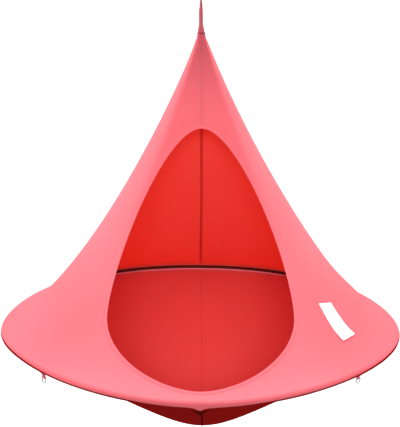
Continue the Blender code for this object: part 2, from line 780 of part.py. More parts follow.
def build_tent():
    for old in list(bpy.data.objects):
        bpy.data.objects.remove(old)
    hang_point = empty("hang_point", (0, 0, 0))
    cuff_pivot = empty("cuff_pivot", (0, 0, -CUFF_PIVOT_DROP), hang_point)
    hoop_plane = empty("hoop_plane", (0, 0, -HANG_HEIGHT), hang_point)
    make_loop(hang_point)
    make_cuff(cuff_pivot)
    make_collar(hoop_plane)
    make_canopy(hoop_plane)
    make_door_binding(hoop_plane)
    make_seam_tapes(hoop_plane)
    make_tag(hoop_plane)
    make_hoop(hoop_plane)
    make_wall_band(hoop_plane)
    make_rim_tape(hoop_plane)
    make_floor(hoop_plane)
    make_floor_seam_tape(hoop_plane)
    make_rings(hoop_plane)


build_tent()
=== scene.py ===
"""The looks of a one-person hanging tent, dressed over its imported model. Lengths are in metres."""

import bisect
import math

import bmesh
import bpy
from mathutils import Matrix, Vector, noise


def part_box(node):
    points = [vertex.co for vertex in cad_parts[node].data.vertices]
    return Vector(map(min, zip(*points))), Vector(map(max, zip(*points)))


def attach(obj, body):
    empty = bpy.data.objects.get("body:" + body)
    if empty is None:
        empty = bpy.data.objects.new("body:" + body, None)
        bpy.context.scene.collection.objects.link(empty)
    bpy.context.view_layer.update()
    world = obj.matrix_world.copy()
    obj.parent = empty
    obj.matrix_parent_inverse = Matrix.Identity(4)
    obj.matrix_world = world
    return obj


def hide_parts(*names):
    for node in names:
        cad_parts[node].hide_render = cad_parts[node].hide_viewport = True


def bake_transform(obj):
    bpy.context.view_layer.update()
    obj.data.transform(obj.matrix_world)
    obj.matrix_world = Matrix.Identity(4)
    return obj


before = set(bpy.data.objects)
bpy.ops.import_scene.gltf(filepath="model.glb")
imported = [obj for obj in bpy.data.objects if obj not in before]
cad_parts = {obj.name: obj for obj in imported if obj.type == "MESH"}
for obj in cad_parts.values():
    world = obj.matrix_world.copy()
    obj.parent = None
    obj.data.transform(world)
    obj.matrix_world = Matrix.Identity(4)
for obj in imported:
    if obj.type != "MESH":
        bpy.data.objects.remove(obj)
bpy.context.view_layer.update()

# Hoop of eight bent aluminium tubes with a spigot inside each joint. The tubes are drawn, bent to
# an eighth of a circle and pushed into the sleeve one after another, which hides them.
sleeve_low, sleeve_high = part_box("hoop_sleeve_front_right")
SLEEVE_RADIUS = (sleeve_high.z - sleeve_low.z) / 2
HOOP_RADIUS = sleeve_high.x - SLEEVE_RADIUS
HOOP_HEIGHT = (sleeve_high.z + sleeve_low.z) / 2
TUBE_RADIUS = 0.0125
TUBE_WALL = 0.0015
TUBE_COUNT = 8
TUBE_STEP = math.radians(2.5)
SPIGOT_RADIUS = 0.0106
SPIGOT_LENGTH = 0.110
TUBE_END_GAP = 0.0003
HOOP_ASIDE = -0.0030
HOOP_LEAN = -0.0055
HOOP_WAVE_OF_THREE = -0.0055
HOOP_WAVE_OF_FOUR = -0.0055
HOOP_CRANK = 0.0048
HOOP_CRANK_ANGLE = math.radians(-59)
HOOP_CRANK_WITHIN = math.radians(15)
GIVE_FROM = 0.30
GIVE_FULL = 0.72
NECK_LEAN = -0.0032
NECK_LEAN_FROM = -0.20
NECK_LEAN_FULL = -0.06
SHARP_ANGLE = math.radians(40)


def smooth_step(low, high, value):
    share = min(1.0, max(0.0, (value - low) / (high - low)))
    return share * share * (3 - 2 * share)


def hoop_give(angle):
    """How far the hoop gives. The cloth draws it up beside the doorway, and before it the hoop sags."""
    crank = math.remainder(angle - HOOP_CRANK_ANGLE, 2 * math.pi) / HOOP_CRANK_WITHIN
    return (
        HOOP_LEAN * math.sin(angle)
        + HOOP_WAVE_OF_THREE * math.cos(3 * angle)
        + HOOP_WAVE_OF_FOUR * math.cos(4 * angle)
        + HOOP_CRANK * math.exp(-crank * crank)
    )


def settled(point):
    """Where a point lies once the hoop has given, and the neck leans a little to the left."""
    share = smooth_step(GIVE_FROM, GIVE_FULL, math.hypot(point.x, point.y))
    give = Vector((HOOP_ASIDE, 0, hoop_give(math.atan2(point.x, -point.y))))
    lean = Vector((NECK_LEAN * smooth_step(NECK_LEAN_FROM, NECK_LEAN_FULL, point.z), 0, 0))
    return point + share * give + lean


def turns_round(count):
    """Equal turns of a full circle."""
    return [2 * math.pi * i / count for i in range(count)]


def grid_faces(columns, rows, closed_columns=False, closed_rows=False):
    """Quads over points laid out column after column."""
    last_column = columns if closed_columns else columns - 1
    last_row = rows if closed_rows else rows - 1
    faces = []
    for c in range(last_column):
        for r in range(last_row):
            d, s = (c + 1) % columns, (r + 1) % rows
            faces.append((c * rows + r, d * rows + r, d * rows + s, c * rows + s))
    return faces


def placed(name, data):
    """A new object in the scene."""
    made = bpy.data.objects.new(name, data)
    bpy.context.scene.collection.objects.link(made)
    return made


def piece(name, points, faces, finish, body, slot, stays=False):
    """A piece that rides on a body. It gives with the hoop unless it stays."""
    mesh = bpy.data.meshes.new(name)
    places = points if stays else [settled(p) for p in points]
    mesh.from_pydata([tuple(p) for p in places], [], faces)
    build = bmesh.new()
    build.from_mesh(mesh)
    bmesh.ops.remove_doubles(build, verts=build.verts, dist=1e-6)
    bmesh.ops.recalc_face_normals(build, faces=build.faces)
    build.to_mesh(mesh)
    build.free()
    mesh.shade_smooth()
    mesh.set_sharp_from_angle(angle=SHARP_ANGLE)
    mesh.materials.append(finish)
    made = placed(name, mesh)
    if body:
        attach(made, body)
    return made


def new_material(name, colour, roughness, metallic=0.0, sheen=0.0, gloss=0.5):
    """A material with its Principled BSDF. Its nodes follow."""
    made = bpy.data.materials.new(name)
    made.use_nodes = True
    shader = made.node_tree.nodes["Principled BSDF"]
    shader.inputs["Base Color"].default_value = (*colour, 1)
    shader.inputs["Roughness"].default_value = roughness
    shader.inputs["Metallic"].default_value = metallic
    shader.inputs["Sheen Weight"].default_value = sheen
    shader.inputs["Sheen Roughness"].default_value = 0.4
    shader.inputs["Specular IOR Level"].default_value = gloss
    return made, made.node_tree, shader


def fill(tree, socket, value):
    """Links a socket to another one, or sets it to a number, a vector or a colour."""
    if isinstance(value, bpy.types.NodeSocket):
        tree.links.new(value, socket)
    elif socket.type == "RGBA":
        socket.default_value = (*value, 1)
    else:
        socket.default_value = value


def math_node(tree, operation, *operands):
    """A Math node. Each operand is a socket or a number."""
    node = tree.nodes.new("ShaderNodeMath")
    node.operation = operation
    for socket, value in zip(node.inputs, operands):
        fill(tree, socket, value)
    return node.outputs[0]


def mix_colours(tree, factor, dark, light):
    """A colour between two others."""
    node = tree.nodes.new("ShaderNodeMix")
    node.data_type = "RGBA"
    for socket, value in (("Factor", factor), ("A", dark), ("B", light)):
        fill(tree, node.inputs[socket], value)
    return node.outputs["Result"]


def bump(tree, height, distance, strength=1.0):
    """A Bump node over a height."""
    node = tree.nodes.new("ShaderNodeBump")
    node.inputs["Distance"].default_value = distance
    node.inputs["Strength"].default_value = strength
    tree.links.new(height, node.inputs["Height"])
    return node.outputs["Normal"]


def object_noise(tree, scale, detail=2.0, stretch=(1, 1, 1)):
    """Noise in the piece's own coordinates."""
    place = tree.nodes.new("ShaderNodeTexCoord")
    mapping = tree.nodes.new("ShaderNodeMapping")
    mapping.inputs["Scale"].default_value = stretch
    tree.links.new(place.outputs["Object"], mapping.inputs["Vector"])
    node = tree.nodes.new("ShaderNodeTexNoise")
    fill(tree, node.inputs["Scale"], scale)
    fill(tree, node.inputs["Detail"], detail)
    tree.links.new(mapping.outputs["Vector"], node.inputs["Vector"])
    return node.outputs["Fac"]


def new_group(name, inputs, outputs):
    """A shader node group with its named sockets, and its inner input and output nodes."""
    group = bpy.data.node_groups.new(name, "ShaderNodeTree")
    for socket, kind in inputs:
        group.interface.new_socket(socket, in_out="INPUT", socket_type=kind)
    for socket, kind in outputs:
        group.interface.new_socket(socket, in_out="OUTPUT", socket_type=kind)
    return group, group.nodes.new("NodeGroupInput"), group.nodes.new("NodeGroupOutput")


def group_node(tree, group, **values):
    """A node group placed in a material with its own values."""
    node = tree.nodes.new("ShaderNodeGroup")
    node.node_tree = group
    for name, value in values.items():
        fill(tree, node.inputs[name], value)
    return node


def handling_marks():
    """Soft marks from handling, which vary a metal's colour and roughness."""
    numbers = [(name, "NodeSocketFloat") for name in ("Scale", "Detail", "Smoothest", "Spread")]
    colours = [(name, "NodeSocketColor") for name in ("Dark", "Light")]
    results = [("Colour", "NodeSocketColor"), ("Roughness", "NodeSocketFloat")]
    group, given, made = new_group("handling_marks", numbers + colours, results)
    marks = object_noise(group, given.outputs["Scale"], given.outputs["Detail"])
    colour = mix_colours(group, marks, given.outputs["Dark"], given.outputs["Light"])
    rough = math_node(group, "MULTIPLY_ADD", marks, given.outputs["Spread"], given.outputs["Smoothest"])
    group.links.new(colour, made.inputs["Colour"])
    group.links.new(rough, made.inputs["Roughness"])
    return group


MARKS = handling_marks()


def marked_metal(name, colour, roughness, **values):
    """Bare metal with marks from handling."""
    made, tree, shader = new_material(name, colour, roughness, metallic=1.0)
    marks = group_node(tree, MARKS, **values)
    tree.links.new(marks.outputs["Colour"], shader.inputs["Base Color"])
    tree.links.new(marks.outputs["Roughness"], shader.inputs["Roughness"])
    return made, tree, shader


def drawn_aluminium():
    """Bare aluminium with fine scratches from drawing."""
    made, tree, shader = marked_metal(
        "drawn_aluminium", (0.78, 0.79, 0.81), 0.34, Scale=60, Detail=4,
        Dark=(0.66, 0.67, 0.69), Light=(0.84, 0.85, 0.86), Smoothest=0.26, Spread=0.16,
    )
    scratches = object_noise(tree, 900, 2, stretch=(1, 1, 0.12))
    tree.links.new(bump(tree, scratches, 0.00004, 0.4), shader.inputs["Normal"])
    return made


def at_angle(angle, radius, height):
    """A point round the tent. The angle runs from the front towards +X."""
    return Vector((radius * math.sin(angle), -radius * math.cos(angle), height))


def on_hoop(angle, out, up):
    """A point near the hoop's centreline."""
    return at_angle(angle, HOOP_RADIUS + out, HOOP_HEIGHT + up)


def bent_tube(name, start, end, outer, inner, finish):
    """A length of hollow tube bent to the hoop's circle, with square ends."""
    sides = 20
    steps = max(4, math.ceil((end - start) / TUBE_STEP))
    points = []
    for radius in (outer, inner):
        for i in range(steps + 1):
            angle = start + (end - start) * i / steps
            for turn in turns_round(sides):
                points.append(on_hoop(angle, radius * math.cos(turn), radius * math.sin(turn)))
    faces = grid_faces(steps + 1, sides, closed_rows=True)
    offset = (steps + 1) * sides
    faces += [tuple(offset + i for i in face) for face in faces]
    for first in (0, steps * sides):
        for k in range(sides):
            m = (k + 1) % sides
            faces.append((first + k, first + m, offset + first + m, offset + first + k))
    return piece(name, points, faces, finish, "tent", "hoop_tube")


aluminium = drawn_aluminium()
eighth = 2 * math.pi / TUBE_COUNT
half_spigot = SPIGOT_LENGTH / 2 / HOOP_RADIUS
end_gap = TUBE_END_GAP / 2 / HOOP_RADIUS
for number in range(1, TUBE_COUNT + 1):
    joint = (number - 0.5) * eighth
    ends = (joint + end_gap, joint + eighth - end_gap)
    tube = bent_tube(f"tube_{number}", *ends, TUBE_RADIUS, TUBE_RADIUS - TUBE_WALL, aluminium)
    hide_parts(f"hoop_tube_{number}")
    ends = (joint - half_spigot, joint + half_spigot)
    spigot = bent_tube(f"spigot_{number}", *ends, SPIGOT_RADIUS, SPIGOT_RADIUS - TUBE_WALL, aluminium)
    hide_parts(f"hoop_spigot_{number}")

# Canopy. One skin of coral cloth, sewn from four gores, hangs from the gathered neck in a trumpet
# curve. It lies over the hoop, goes right round it as the sleeve, and is sewn to itself inside.
collar_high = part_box("gather_collar")[1]
NECK_HEIGHT = HOOP_HEIGHT + 1.070
NECK_RADIUS = collar_high.x
NECK_DRAW = 0.0022
NECK_SLOPE = math.radians(20.9)
NECK_PULL = 0.350
RIM_PULL = 0.252
RIM_LANDING = math.radians(17.4)
CLOTH = 0.0010
QUARTERS = ("front_right", "back_right", "back_left", "front_left")
SLEEVE_SKIN = SLEEVE_RADIUS + 0.0004
GATHER_TOP = collar_high.z - 0.001
GATHER_RADIUS = 0.0130
GATHER_ROWS = 6
RIDGE_ANGLE = math.radians(50)
RIDGE_SOFTNESS = math.radians(1.8)
FRONT_FLATNESS = 0.88
FLAT_FROM_HEIGHT = HOOP_HEIGHT + 0.180
FLAT_FULL_HEIGHT = HOOP_HEIGHT + 0.760
ROUND_FROM_HEIGHT = -0.190
PLEATS = 14
PLEAT_DEPTH = 0.0024
PLEAT_REACH = 0.15
PLEAT_SHARPNESS = 0.6
PLEAT_UNEVENNESS = 5
DART_DEPTH = 0.0012
DART_WIDTH = 0.0018
DART_LENGTH = 0.0075
DARTS = ((-11, 0.004), (16, 0.005), (-32, 0.040), (-13, 0.036), (28, 0.036), (42, 0.068), (43, 0.094))
SHOULDER_ANGLE = math.radians(100)
SHOULDER_WITHIN = math.radians(28)
SHOULDER_RADIUS = 0.60
SHOULDER_REACH = 0.07
SHOULDER_RIGHT = 0.0075
SHOULDER_LEFT = -0.0025
DOOR_TOP = HOOP_HEIGHT + 0.7566
DOOR_BOTTOM = HOOP_HEIGHT + 0.0261
DOOR_HALF_WIDTH = 0.3152
DOOR_WIDEST = HOOP_HEIGHT + 0.1659
DOOR_TOP_PULL = 0.1273
DOOR_SIDE_PULL_UP = 0.1419
DOOR_SIDE_PULL_DOWN = 0.112
DOOR_BOTTOM_PULL = 0.0839
ROUND_STEPS = 240
FINE_WITHIN = math.radians(9)
FINE_STEP = math.radians(0.5)
CANOPY_STEPS = 72
DOOR_STEPS = 48
DOORWAY_STEPS = 90
SLEEVE_STEPS = 26
SLEEVE_CHANGE = 10
SLEEVE_CHANGE_IN_FRONT = math.radians(-37)
SLEEVE_CHANGE_BESIDE = math.radians(-12)
SLEEVE_CHANGE_AT_SIDES = math.radians(30)
SLEEVE_BESIDE_FROM, SLEEVE_BESIDE_FULL = math.radians(2), math.radians(22)
SLEEVE_SIDE_FROM, SLEEVE_SIDE_FULL = math.radians(30), math.radians(75)
SLEEVE_SIDE_LEAVES, SLEEVE_SIDE_ENDS = math.radians(95), math.radians(130)
SLEEVE_TAIL = ((0, 0.005), (0.0006, 0.010), (0.0022, 0.0148))
SLEEVE_POINT = math.radians(22)
SLEEVE_POINT_WITHIN = math.radians(0.95)
FRONT_SAG = 0.0105
FRONT_SAG_WITHIN = math.radians(2.1)
PUCKER_DEPTH = 0.0007
PUCKER_ANGLE = math.radians(2.6)
PUCKER_WITHIN = math.radians(1.5)
PUCKER_PITCH = math.radians(0.9)
PUCKER_FACES = math.radians(-25)


def bezier(points, share):
    """A point on the cubic curve with those four control points."""
    a, b, c, d = points
    s = 1 - share
    return s**3 * a + 3 * s**2 * share * b + 3 * s * share**2 * c + share**3 * d


def canopy_curve():
    """Control points of the canopy's outline, as (radius, height)."""
    neck = Vector((NECK_RADIUS - NECK_DRAW, NECK_HEIGHT))
    landing = Vector((math.sin(RIM_LANDING), math.cos(RIM_LANDING)))
    rim = Vector((HOOP_RADIUS, HOOP_HEIGHT)) + SLEEVE_SKIN * landing
    below_neck = neck + NECK_PULL * Vector((math.sin(NECK_SLOPE), -math.cos(NECK_SLOPE)))
    before_rim = rim + RIM_PULL * Vector((-landing.y, landing.x))
    return neck, below_neck, before_rim, rim


CURVE = canopy_curve()


def front_draw(angle, height):
    """How far the front is drawn in towards a flat facet, as a factor on the radius."""
    side = abs(angle)
    soft = RIDGE_SOFTNESS * math.log(1 + math.exp((RIDGE_ANGLE - side) / RIDGE_SOFTNESS))
    inside = max(0.0, RIDGE_ANGLE - soft)
    flat = math.cos(RIDGE_ANGLE) / math.cos(min(inside, RIDGE_ANGLE))
    share = FRONT_FLATNESS * smooth_step(FLAT_FROM_HEIGHT, FLAT_FULL_HEIGHT, height)
    share *= 1 - smooth_step(ROUND_FROM_HEIGHT, NECK_HEIGHT, height)
    return 1 + share * (flat - 1)


def gather_fold(angle, radius, below):
    """How far the gathered cloth stands out of the canopy's curve, in folds and darts."""
    fade = (1 - max(0.0, below) / PLEAT_REACH) ** 2
    uneven = noise.noise(Vector((math.sin(angle) * 2, math.cos(angle) * 2, 0.3)))
    fold = abs(math.sin((PLEATS * angle + PLEAT_UNEVENNESS * uneven) / 2)) ** PLEAT_SHARPNESS - 0.6
    out = PLEAT_DEPTH * fade * fold
    for degrees, drop in DARTS:
        across = radius * (angle - math.radians(degrees)) / DART_WIDTH
        along = (below - drop) / DART_LENGTH
        if abs(across) < 3 and abs(along) < 3:
            out -= DART_DEPTH * math.exp(-across * across - along * along)
    return out


def shoulder(angle, radius):
    """How far the canopy stands out at the sides. Its right shoulder is fuller than its left."""
    side = math.remainder(angle, 2 * math.pi)
    around = (abs(side) - SHOULDER_ANGLE) / SHOULDER_WITHIN
    along = (radius - SHOULDER_RADIUS) / SHOULDER_REACH
    return (SHOULDER_RIGHT if side > 0 else SHOULDER_LEFT) * math.exp(-around * around - along * along)


def canopy_point(angle, share, lift=0.0):
    """A point of the canopy's outer face, from the neck at 0 to the hoop at 1."""
    radius, height = bezier(CURVE, share)
    lift += shoulder(angle, radius)
    if lift:
        run = bezier(CURVE, min(1, share + 0.001)) - bezier(CURVE, max(0, share - 0.001))
        out = Vector((-run.y, run.x)).normalized()
        radius, height = radius + lift * out.x, height + lift * out.y
    turned = (angle + math.pi) % (2 * math.pi) - math.pi
    radius *= front_draw(turned, height)
    below = NECK_HEIGHT - height
    if below < PLEAT_REACH:
        radius += gather_fold(turned, radius, below)
    return at_angle(angle, radius, height)


def halved(low, high, short_of_it):
    """The value up to which a test holds, found between two others by halving."""
    for _ in range(40):
        middle = (low + high) / 2
        if short_of_it(middle):
            low = middle
        else:
            high = middle
    return (low + high) / 2


def canopy_share_at(height):
    """How far down the canopy a height is."""
    return halved(0.0, 1.0, lambda share: bezier(CURVE, share).y > height)


def canopy_angle_at(across, share):
    """The angle where the canopy lies that far to the side of its middle."""
    return halved(-math.pi / 2, math.pi / 2, lambda angle: canopy_point(angle, share).x < across)


def canopy_frame(angle, share):
    """A point of the outer face, with the way out and the way round there."""
    point = canopy_point(angle, share)
    round_way = canopy_point(angle + 0.01, share) - canopy_point(angle - 0.01, share)
    down_way = canopy_point(angle, min(1, share + 0.005)) - canopy_point(angle, max(0, share - 0.005))
    return point, down_way.cross(round_way).normalized(), round_way.normalized()


def door_outline(steps):
    """Points round the doorway as seen from the front, anticlockwise from the bottom."""
    top = Vector((0, DOOR_TOP))
    side = Vector((DOOR_HALF_WIDTH, DOOR_WIDEST))
    bottom = Vector((0, DOOR_BOTTOM))
    lower = (bottom, bottom + Vector((DOOR_BOTTOM_PULL, 0)), side - Vector((0, DOOR_SIDE_PULL_DOWN)), side)
    upper = (side, side + Vector((0, DOOR_SIDE_PULL_UP)), top + Vector((DOOR_TOP_PULL, 0)), top)
    right = [bezier(lower, i / steps) for i in range(steps)]
    right += [bezier(upper, i / steps) for i in range(steps)]
    left = [Vector((-p.x, p.y)) for p in reversed(right[1:])]
    return [*right, top, *left]


def doorway_places(steps):
    """The doorway's outline as pairs of angle and share on the canopy."""
    places = []
    for across, height in door_outline(steps):
        share = canopy_share_at(height)
        places.append((canopy_angle_at(across, share), share))
    return places


DOORWAY = doorway_places(DOORWAY_STEPS)
DOOR_MIDDLE = (DOORWAY[0][1] + DOORWAY[len(DOORWAY) // 2][1]) / 2
CHART_WIDE = 0.45
CHART_TALL = 1.45


def on_chart(angle, share):
    """A place of the canopy on a flat chart round the doorway's middle."""
    return angle * CHART_WIDE, (DOOR_MIDDLE - share) * CHART_TALL


def doorway_turns():
    """Direction and distance of the doorway's edge from its middle, on a flat chart of the canopy."""
    turns = []
    for place in DOORWAY:
        x, y = on_chart(*place)
        turns.append((math.atan2(y, x), math.hypot(x, y)))
    turns.sort()
    before, after = turns[-1], turns[0]
    return [(before[0] - 2 * math.pi, before[1]), *turns, (after[0] + 2 * math.pi, after[1])]


def edge_between(turns, direction):
    """The distance to the doorway's edge, read between its points."""
    after = bisect.bisect_right(turns, direction, key=lambda turn: turn[0])
    (a, near), (b, far) = turns[after - 1], turns[after]
    return near + (far - near) * (direction - a) / (b - a)


def angles_round():
    """Angles right round the tent from its left side, closer together at the seam before the doorway."""
    step = 2 * math.pi / ROUND_STEPS
    fine = math.ceil(FINE_WITHIN / step) * step
    coarse = [-math.pi / 2 + i * step for i in range(ROUND_STEPS)]
    count = round(2 * fine / FINE_STEP)
    between = [-fine + 2 * fine * i / count for i in range(count + 1)]
    before = [a for a in coarse if a < -fine - step / 2]
    after = [a for a in coarse if a > fine + step / 2]
    return before + between + after


ANGLES = angles_round()
FRONT_COUNT = len(ANGLES) - ROUND_STEPS // 2 + 1


def front_border():
    """Angle and share of points round the border of the front half, from its lower left corner."""
    angles = ANGLES[:FRONT_COUNT]
    shares = [i / CANOPY_STEPS for i in range(CANOPY_STEPS + 1)]
    border = [(a, 1.0) for a in angles]
    border += [(math.pi / 2, s) for s in reversed(shares[:-1])]
    border += [(a, 0.0) for a in reversed(angles[:-1])]
    border += [(-math.pi / 2, s) for s in shares[1:-1]]
    return border


def canopy_front():
    """The front half, as rings of points from the doorway's edge out to the border."""
    turns = doorway_turns()
    columns = []
    for angle, share in front_border():
        x, y = on_chart(angle, share)
        reach = edge_between(turns, math.atan2(y, x)) / math.hypot(x, y)
        start = (x * reach / CHART_WIDE, DOOR_MIDDLE - y * reach / CHART_TALL)
        column = []
        for i in range(DOOR_STEPS + 1):
            step = i / DOOR_STEPS
            place = [a + (b - a) * step for a, b in zip(start, (angle, share))]
            column.append(canopy_point(*place))
        columns.append(column)
    points = [p for column in columns for p in column]
    return points, grid_faces(len(columns), DOOR_STEPS + 1, closed_columns=True)


def canopy_back():
    """The back half, as columns of points from the neck down to the hoop."""
    angles = [*ANGLES[FRONT_COUNT - 1:], ANGLES[0]]
    points = []
    for angle in angles:
        points += [canopy_point(angle, s / CANOPY_STEPS) for s in range(CANOPY_STEPS + 1)]
    return points, grid_faces(len(angles), CANOPY_STEPS + 1)


def gathers():
    """The cloth above the canopy's neck, gathered over the collar."""
    points = []
    for angle in ANGLES:
        foot = canopy_point(angle, 0)
        out = GATHER_RADIUS + gather_fold(angle, GATHER_RADIUS, 0) * 0.6
        top = at_angle(angle, out, GATHER_TOP)
        points += [foot.lerp(top, r / GATHER_ROWS) for r in range(GATHER_ROWS + 1)]
    return points, grid_faces(len(ANGLES), GATHER_ROWS + 1, closed_columns=True)


def sleeve_slack(angle, turn):
    """How far the sleeve hangs off the tube under the front seam, beside which it puckers a little."""
    under = max(0.0, -math.sin(turn))
    sag = FRONT_SAG * under**2 * math.exp(-((angle / FRONT_SAG_WITHIN) ** 2))
    beside = math.exp(-(((angle - PUCKER_ANGLE) / PUCKER_WITHIN) ** 2))
    face = max(0.0, math.cos(turn - PUCKER_FACES))
    ripple = 1 + math.sin(angle * 2 * math.pi / PUCKER_PITCH + 2 * turn)
    return sag + PUCKER_DEPTH * beside * face * ripple


def sleeve_change(angle):
    """The turn round the tube where coral gives way to the floor's cloth, with a point in front. Below it the
    tube's cloth is dark red, made darker by painted shade.
    """
    side = abs(math.remainder(angle, 2 * math.pi))
    beside = smooth_step(SLEEVE_BESIDE_FROM, SLEEVE_BESIDE_FULL, side)
    at_side = smooth_step(SLEEVE_SIDE_FROM, SLEEVE_SIDE_FULL, side)
    at_side *= 1 - smooth_step(SLEEVE_SIDE_LEAVES, SLEEVE_SIDE_ENDS, side)
    change = SLEEVE_CHANGE_IN_FRONT + (SLEEVE_CHANGE_BESIDE - SLEEVE_CHANGE_IN_FRONT) * beside
    change += (SLEEVE_CHANGE_AT_SIDES - SLEEVE_CHANGE_BESIDE) * at_side
    return change - SLEEVE_POINT * math.exp(-((side / SLEEVE_POINT_WITHIN) ** 2))


def sleeve(under):
    """The cloth round the hoop: coral over its outer side, and from there the floor's cloth, whose near-black
    outside colour is painted shade under the tube.
    """
    landing = math.pi / 2 - RIM_LANDING
    first, last = (SLEEVE_CHANGE, SLEEVE_STEPS) if under else (0, SLEEVE_CHANGE)
    points = []
    for angle in ANGLES:
        change = sleeve_change(angle)
        for i in range(first, last + 1):
            if under:
                turn = change - (change + math.pi) * (i - first) / (last - first)
            else:
                turn = landing + (change - landing) * i / last
            near_canopy = smooth_step(0, 0.15, i / SLEEVE_STEPS)
            out = SLEEVE_SKIN + sleeve_slack(angle, turn) * near_canopy
            points.append(on_hoop(angle, out * math.cos(turn), out * math.sin(turn)))
        if under:
            points += [on_hoop(angle, -SLEEVE_SKIN - out, up) for out, up in SLEEVE_TAIL]
    rows = len(points) // len(ANGLES)
    return points, grid_faces(len(ANGLES), rows, closed_columns=True)


def place_on_tent(tree):
    """The tent's own X, Y and Z."""
    place = tree.nodes.new("ShaderNodeTexCoord")
    split = tree.nodes.new("ShaderNodeSeparateXYZ")
    tree.links.new(place.outputs["Object"], split.inputs[0])
    return split.outputs


def place_round_tent(tree):
    """The angle from the front, the distance from the middle, and the height."""
    x, y, z = place_on_tent(tree)
    squares = math_node(tree, "ADD", math_node(tree, "MULTIPLY", x, x), math_node(tree, "MULTIPLY", y, y))
    angle = math_node(tree, "ARCTAN2", x, math_node(tree, "MULTIPLY", y, -1.0))
    return angle, math_node(tree, "SQRT", squares), z


def woven_cloth():
    """A plain weave with slubs. Threads run round the tent and down its gores."""
    group, given, made = new_group(
        "woven_cloth",
        [("Threads", "NodeSocketFloat"), ("Slub", "NodeSocketFloat")],
        [("Height", "NodeSocketFloat"), ("Tone", "NodeSocketFloat")],
    )
    angle, radius, z = place_round_tent(group)
    across = math_node(group, "MULTIPLY", angle, radius)
    along = math_node(group, "MULTIPLY", math_node(group, "SUBTRACT", radius, z), 0.75)
    turns = math_node(group, "MULTIPLY", given.outputs["Threads"], math.pi)
    warp = math_node(group, "ABSOLUTE", math_node(group, "SINE", math_node(group, "MULTIPLY", across, turns)))
    weft = math_node(group, "ABSOLUTE", math_node(group, "SINE", math_node(group, "MULTIPLY", along, turns)))
    weave = math_node(group, "MULTIPLY", warp, weft)
    slub = object_noise(group, 90, 5)
    broad = object_noise(group, 5, 3)
    slubs = math_node(group, "MULTIPLY", slub, given.outputs["Slub"])
    group.links.new(math_node(group, "ADD", weave, slubs), made.inputs["Height"])
    tones = math_node(group, "MULTIPLY", slub, 0.35), math_node(group, "MULTIPLY", broad, 0.65)
    group.links.new(math_node(group, "ADD", *tones), made.inputs["Tone"])
    return group


WEAVE = woven_cloth()
SLUB = 0.35
# Painted shade over the coral's colour: deeper towards the neck, and towards the rim away from the front.
NECK_SHADE = (0.62, 0.64, 0.68)
NECK_SHADE_REACH = (-0.42, -0.10, 0.0, 1.0)
NECK_SHADE_BESIDE = (math.radians(44), math.radians(58), 1.0, 0.25)
RIM_SHADE = (0.97, 0.83, 0.85)
RIM_SHADE_REACH = (0.36, 0.60, 0.0, 1.0)
RIM_SHADE_BESIDE = (math.radians(25), math.radians(50), 0.0, 1.0)
# Painted shade over the floor's colour, deeper towards the back.
FLOOR_SHADE = (0.90, 0.66, 0.66)
FLOOR_SHADE_REACH = (-0.60, 0.55, 0.0, 1.0)
COLOUR = [("Colour", "NodeSocketColor")]


def smooth_reach(tree, value, reach):
    """A value brought smoothly from one range into another."""
    node = tree.nodes.new("ShaderNodeMapRange")
    node.interpolation_type = "SMOOTHSTEP"
    for socket, limit in zip(("From Min", "From Max", "To Min", "To Max"), reach):
        node.inputs[socket].default_value = limit
    tree.links.new(value, node.inputs["Value"])
    return node.outputs["Result"]


def shaded(tree, colour, factor, shade):
    """A colour multiplied by a shade as far as the factor says."""
    node = tree.nodes.new("ShaderNodeMix")
    node.data_type = "RGBA"
    node.blend_type = "MULTIPLY"
    for socket, value in (("Factor", factor), ("A", colour), ("B", shade)):
        fill(tree, node.inputs[socket], value)
    return node.outputs["Result"]


def painted_shade_at_neck_and_rim():
    """Painted shade: deepens a colour towards the neck, most over the front, and towards the rim at the sides
    and back.
    """
    group, given, made = new_group("painted_shade_at_neck_and_rim", COLOUR, COLOUR)
    colour = given.outputs["Colour"]
    angle, radius, z = place_round_tent(group)
    side = math_node(group, "ABSOLUTE", angle)
    for away, reach, beside, shade in (
        (z, NECK_SHADE_REACH, NECK_SHADE_BESIDE, NECK_SHADE),
        (radius, RIM_SHADE_REACH, RIM_SHADE_BESIDE, RIM_SHADE),
    ):
        within = smooth_reach(group, away, reach), smooth_reach(group, side, beside)
        colour = shaded(group, colour, math_node(group, "MULTIPLY", *within), shade)
    group.links.new(colour, made.inputs["Colour"])
    return group


def painted_shade_towards_back():
    """Painted shade: deepens a colour from the doorway to the back, so the floor is lighter near the doorway.
    """
    group, given, made = new_group("painted_shade_towards_back", COLOUR, COLOUR)
    away = smooth_reach(group, place_on_tent(group)[1], FLOOR_SHADE_REACH)
    group.links.new(shaded(group, given.outputs["Colour"], away, FLOOR_SHADE), made.inputs["Colour"])
    return group


PAINTED_NECK_AND_RIM_SHADE = painted_shade_at_neck_and_rim()
PAINTED_SHADE_TOWARDS_BACK = painted_shade_towards_back()


def cloth_finish(name, dark, light, roughness, threads=900.0, depth=0.00012,
                 sheen=0.05, gloss=0.25, through=None, share=0.3, shade=None):
    """Woven cloth, and the colour and share of the light that passes through it, if any does."""
    made, tree, shader = new_material(name, light, roughness, sheen=sheen, gloss=gloss)
    weave = group_node(tree, WEAVE, Threads=threads, Slub=SLUB)
    colour = mix_colours(tree, weave.outputs["Tone"], dark, light)
    if shade:
        colour = group_node(tree, shade, Colour=colour).outputs["Colour"]
    tree.links.new(colour, shader.inputs["Base Color"])
    normal = bump(tree, weave.outputs["Height"], depth, 0.5)
    tree.links.new(normal, shader.inputs["Normal"])
    if through:
        glow = tree.nodes.new("ShaderNodeBsdfTranslucent")
        glow.inputs["Color"].default_value = (*through, 1)
        tree.links.new(normal, glow.inputs["Normal"])
        both = tree.nodes.new("ShaderNodeMixShader")
        both.inputs["Fac"].default_value = share
        tree.links.new(shader.outputs[0], both.inputs[1])
        tree.links.new(glow.outputs[0], both.inputs[2])
        tree.links.new(both.outputs[0], tree.nodes["Material Output"].inputs["Surface"])
    return made


